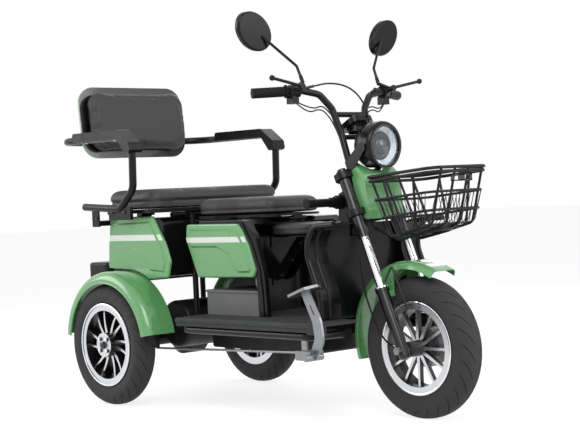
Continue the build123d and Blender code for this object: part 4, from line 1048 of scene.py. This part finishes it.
class TRIKE_OT_body_fittings(bpy.types.Operator):
    """Add the bolts, the lamps at the tail, the mirrors' glass and the arm rests' screws"""

    bl_idname = "trike.body_fittings"
    bl_label = "Body fittings"

    def execute(self, context):
        bolt_heads("strut_bolts", [
            ((0.030, -0.0250, 0.432), (0, -1, 0)), ((0.125, -0.0250, 0.540), (0, -1, 0)),
            ((0.078, -0.0250, 0.484), (0, -1, 0)), ((0.030, 0.0250, 0.432), (0, 1, 0)),
            ((0.125, 0.0250, 0.540), (0, 1, 0)),
        ], 0.007, 0.006, "chrome", "chassis")
        plates = []
        for sign in SIDES.values():
            for x in (-0.629, -0.611):
                plates.append(((x, sign * 0.319, 0.648), (0, sign, 0)))
            for x in (-0.500, -0.430):
                plates.append(((x, sign * 0.328, 0.668), (0, sign, 0)))
        bolt_heads("armrest_bolts", plates, 0.0065, 0.006, "axle_steel", "chassis")
        self.tail_lamps()
        for side, sign in SIDES.items():
            self.mirror_glass(side, sign)
            self.pad_screws(side, sign)
        return {"FINISHED"}

    def tail_lamps(self):
        low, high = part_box("tail_bumper")
        for side, sign in SIDES.items():
            work = bmesh.new()
            bmesh.ops.create_cube(work, size=1.0, matrix=Matrix.Translation(
                (low.x - 0.0005, sign * 0.150, (low.z + high.z) / 2)) @ Matrix.Diagonal((0.012, 0.110, 0.040, 1.0)))
            bmesh.ops.bevel(
                work, geom=list(work.edges), offset=0.005, offset_type="OFFSET", segments=3,
                affect="EDGES", profile=0.5, material=-1,
            )
            dress(to_piece(work, f"tail_lamp_{side}", 40.0), "lamp_red", "chassis")

    def mirror_glass(self, side, sign):
        facing = Vector((-0.98, sign * -0.08, 0.12)).normalized()
        across = Vector((0.12, sign * 0.8, 0.6))
        across = (across - facing * across.dot(facing)).normalized()
        up = facing.cross(across)
        centre = Vector((0.411 - 0.162, sign * 0.288, 0.757 + 0.455)) + facing * 0.0085
        matrix = Matrix((across * 0.066, up * 0.048, facing)).transposed().to_4x4()
        matrix.translation = centre
        work = bmesh.new()
        bmesh.ops.create_circle(work, cap_ends=True, segments=48, radius=1.0, matrix=matrix)
        made = bmesh.ops.extrude_face_region(work, geom=list(work.faces))
        moved = [item for item in made["geom"] if isinstance(item, bmesh.types.BMVert)]
        bmesh.ops.translate(work, verts=moved, vec=facing * 0.0012)
        dress(to_piece(work, f"mirror_glass_{side}", 30.0), "mirror_glass", STEERED)

    def pad_screws(self, side, sign):
        """The two screws under each armrest pad."""
        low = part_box(f"armrest_pad_{side}")[0]
        bolt_heads(
            f"pad_screws_{side}",
            [((x, sign * 0.326, low.z + 0.0505), (0, 0, -1)) for x in (-0.640, -0.470)],
            0.005, 0.004, "chrome", "chassis",
        )


# ---- the stage ----------------------------------------------------------------------------------------

def camera_matrix(view):
    """Where the camera stands, from its angles, distance and roll."""
    toward = Vector((
        math.sin(view.azimuth) * math.cos(view.elevation),
        -math.cos(view.azimuth) * math.cos(view.elevation),
        math.sin(view.elevation),
    ))
    right = (-toward).cross(Vector((0, 0, 1))).normalized()
    up = right.cross(-toward)
    turned_right = right * math.cos(view.roll) + up * math.sin(view.roll)
    turned_up = up * math.cos(view.roll) - right * math.sin(view.roll)
    matrix = Matrix((turned_right, turned_up, toward)).transposed().to_4x4()
    matrix.translation = Vector((view.target_forward, -0.006, view.target_height)) + toward * view.distance
    return matrix


def soft_lamp(name, place, target, size, power):
    """A square soft light that faces a point."""
    data = bpy.data.lights.new(name, "AREA")
    data.shape = "SQUARE"
    data.size = size
    data.energy = power
    lamp = bpy.data.objects.new(name, data)
    lamp.rotation_euler = (Vector(target) - Vector(place)).to_track_quat("-Z", "Y").to_euler()
    lamp.location = place
    bpy.context.scene.collection.objects.link(lamp)


def seen_rays(tree):
    """1 for rays from the camera, a mirror or through glass."""
    light_path = tree.nodes.new("ShaderNodeLightPath")
    total = None
    for name in ("Is Camera Ray", "Is Glossy Ray", "Is Transmission Ray"):
        if total is None:
            total = light_path.outputs[name]
            continue
        plus = tree.nodes.new("ShaderNodeMath")
        plus.operation = "MAXIMUM"
        tree.links.new(total, plus.inputs[0])
        tree.links.new(light_path.outputs[name], plus.inputs[1])
        total = plus.outputs[0]
    return total


class TRIKE_OT_stage(bpy.types.Operator):
    """Set up the camera, the floor and the soft studio light"""

    bl_idname = "trike.stage"
    bl_label = "Studio"

    def execute(self, context):
        view = context.scene.trike_view
        scene = context.scene
        scene.view_settings.view_transform = "Standard"
        data = bpy.data.cameras.new("camera")
        data.lens = view.focal_length
        data.sensor_width = 36.0
        data.clip_end = 200.0
        camera = bpy.data.objects.new("camera", data)
        scene.collection.objects.link(camera)
        camera.matrix_world = camera_matrix(view)
        scene.camera = camera
        self.make_world(scene)
        self.make_floor(view)
        soft_lamp("key_light", (2.6, -2.4, 3.2), (0, 0, 0.5), 2.4, 95.0)
        soft_lamp("side_light", (-3.0, -2.6, 2.0), (0, 0, 0.5), 2.2, 55.0)
        soft_lamp("front_light", (3.4, 1.6, 1.8), (0, 0, 0.6), 2.0, 45.0)
        soft_lamp("back_light", (-2.4, 3.0, 2.6), (0, 0, 0.5), 2.2, 40.0)
        return {"FINISHED"}

    def make_world(self, scene):
        world = bpy.data.worlds.new("studio")
        world.use_nodes = True
        tree = world.node_tree
        background = tree.nodes["Background"]
        background.inputs["Color"].default_value = (1.0, 1.0, 1.0, 1.0)
        strength = tree.nodes.new("ShaderNodeMapRange")
        strength.inputs["To Min"].default_value = 0.4
        strength.inputs["To Max"].default_value = 1.0
        tree.links.new(seen_rays(tree), strength.inputs["Value"])
        tree.links.new(strength.outputs["Result"], background.inputs["Strength"])
        scene.world = world

    def make_floor(self, view):
        work = bmesh.new()
        bmesh.ops.create_grid(work, x_segments=1, y_segments=1, size=view.floor_size / 2)
        floor = to_piece(work, "floor")
        if floor.data.polygons[0].normal.z < 0:
            floor.data.flip_normals()
        material = bpy.data.materials.new("floor")
        material.use_nodes = True
        tree = material.node_tree
        tree.nodes.clear()
        output = tree.nodes.new("ShaderNodeOutputMaterial")
        bounce = tree.nodes.new("ShaderNodeBsdfDiffuse")
        bounce.inputs["Color"].default_value = (0.8, 0.8, 0.8, 1.0)
        seen = tree.nodes.new("ShaderNodeBsdfDiffuse")
        seen.inputs["Color"].default_value = (0.42, 0.42, 0.42, 1.0)
        glow = tree.nodes.new("ShaderNodeEmission")
        glow.inputs["Strength"].default_value = 0.79
        both = tree.nodes.new("ShaderNodeAddShader")
        tree.links.new(seen.outputs[0], both.inputs[0])
        tree.links.new(glow.outputs[0], both.inputs[1])
        choice = tree.nodes.new("ShaderNodeMixShader")
        tree.links.new(seen_rays(tree), choice.inputs[0])
        tree.links.new(bounce.outputs[0], choice.inputs[1])
        tree.links.new(both.outputs[0], choice.inputs[2])
        tree.links.new(choice.outputs[0], output.inputs[0])
        floor.data.materials.append(material)


class TRIKE_OT_finishes(bpy.types.Operator):
    """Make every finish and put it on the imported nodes"""

    bl_idname = "trike.finishes"
    bl_label = "Finishes"

    def execute(self, context):
        made = make_finishes(context.scene.trike_colours)
        slots = {row["node"]: row["material_slot"] for row in frame["record"]["subparts"]}
        for name, node in nodes.items():
            finish = NODE_FINISH.get(name) or slots[name]
            if finish not in made:
                finish = "black_matte"
            node.data.materials.clear()
            node.data.materials.append(made[finish].material)
        return {"FINISHED"}


# ---- panel and registration ---------------------------------------------------------------------------

OPERATORS = [
    TRIKE_OT_stage, TRIKE_OT_finishes, TRIKE_OT_tyres, TRIKE_OT_cushions, TRIKE_OT_wheel_fittings,
    TRIKE_OT_headlight, TRIKE_OT_basket_wires, TRIKE_OT_cables, TRIKE_OT_body_fittings,
]


class TRIKE_PT_panel(bpy.types.Panel):
    """Lists the tricycle's steps in the sidebar"""

    bl_idname = "TRIKE_PT_panel"
    bl_label = "Electric tricycle"
    bl_space_type = "VIEW_3D"
    bl_region_type = "UI"
    bl_category = "Tricycle"

    def draw(self, context):
        layout = self.layout
        for group in (context.scene.trike_view, context.scene.trike_colours, context.scene.trike_sizes):
            for key in group.__annotations__:
                layout.prop(group, key)
        for operator in OPERATORS:
            layout.operator(operator.bl_idname)


CLASSES = [TrikeColours, TrikeView, TrikeSizes, *OPERATORS, TRIKE_PT_panel]


def register():
    """Register the classes and hang their values on the scene."""
    for item in CLASSES:
        bpy.utils.register_class(item)
    bpy.types.Scene.trike_colours = bpy.props.PointerProperty(type=TrikeColours)
    bpy.types.Scene.trike_view = bpy.props.PointerProperty(type=TrikeView)
    bpy.types.Scene.trike_sizes = bpy.props.PointerProperty(type=TrikeSizes)


def unregister():
    """Take the classes and values off again."""
    del bpy.types.Scene.trike_sizes
    del bpy.types.Scene.trike_view
    del bpy.types.Scene.trike_colours
    for item in reversed(CLASSES):
        bpy.utils.unregister_class(item)


def main():
    """Build the whole tricycle, step by step."""
    register()
    for operator in OPERATORS:
        getattr(bpy.ops.trike, operator.bl_idname.split(".")[1])()


if __name__ == "__main__":
    main()
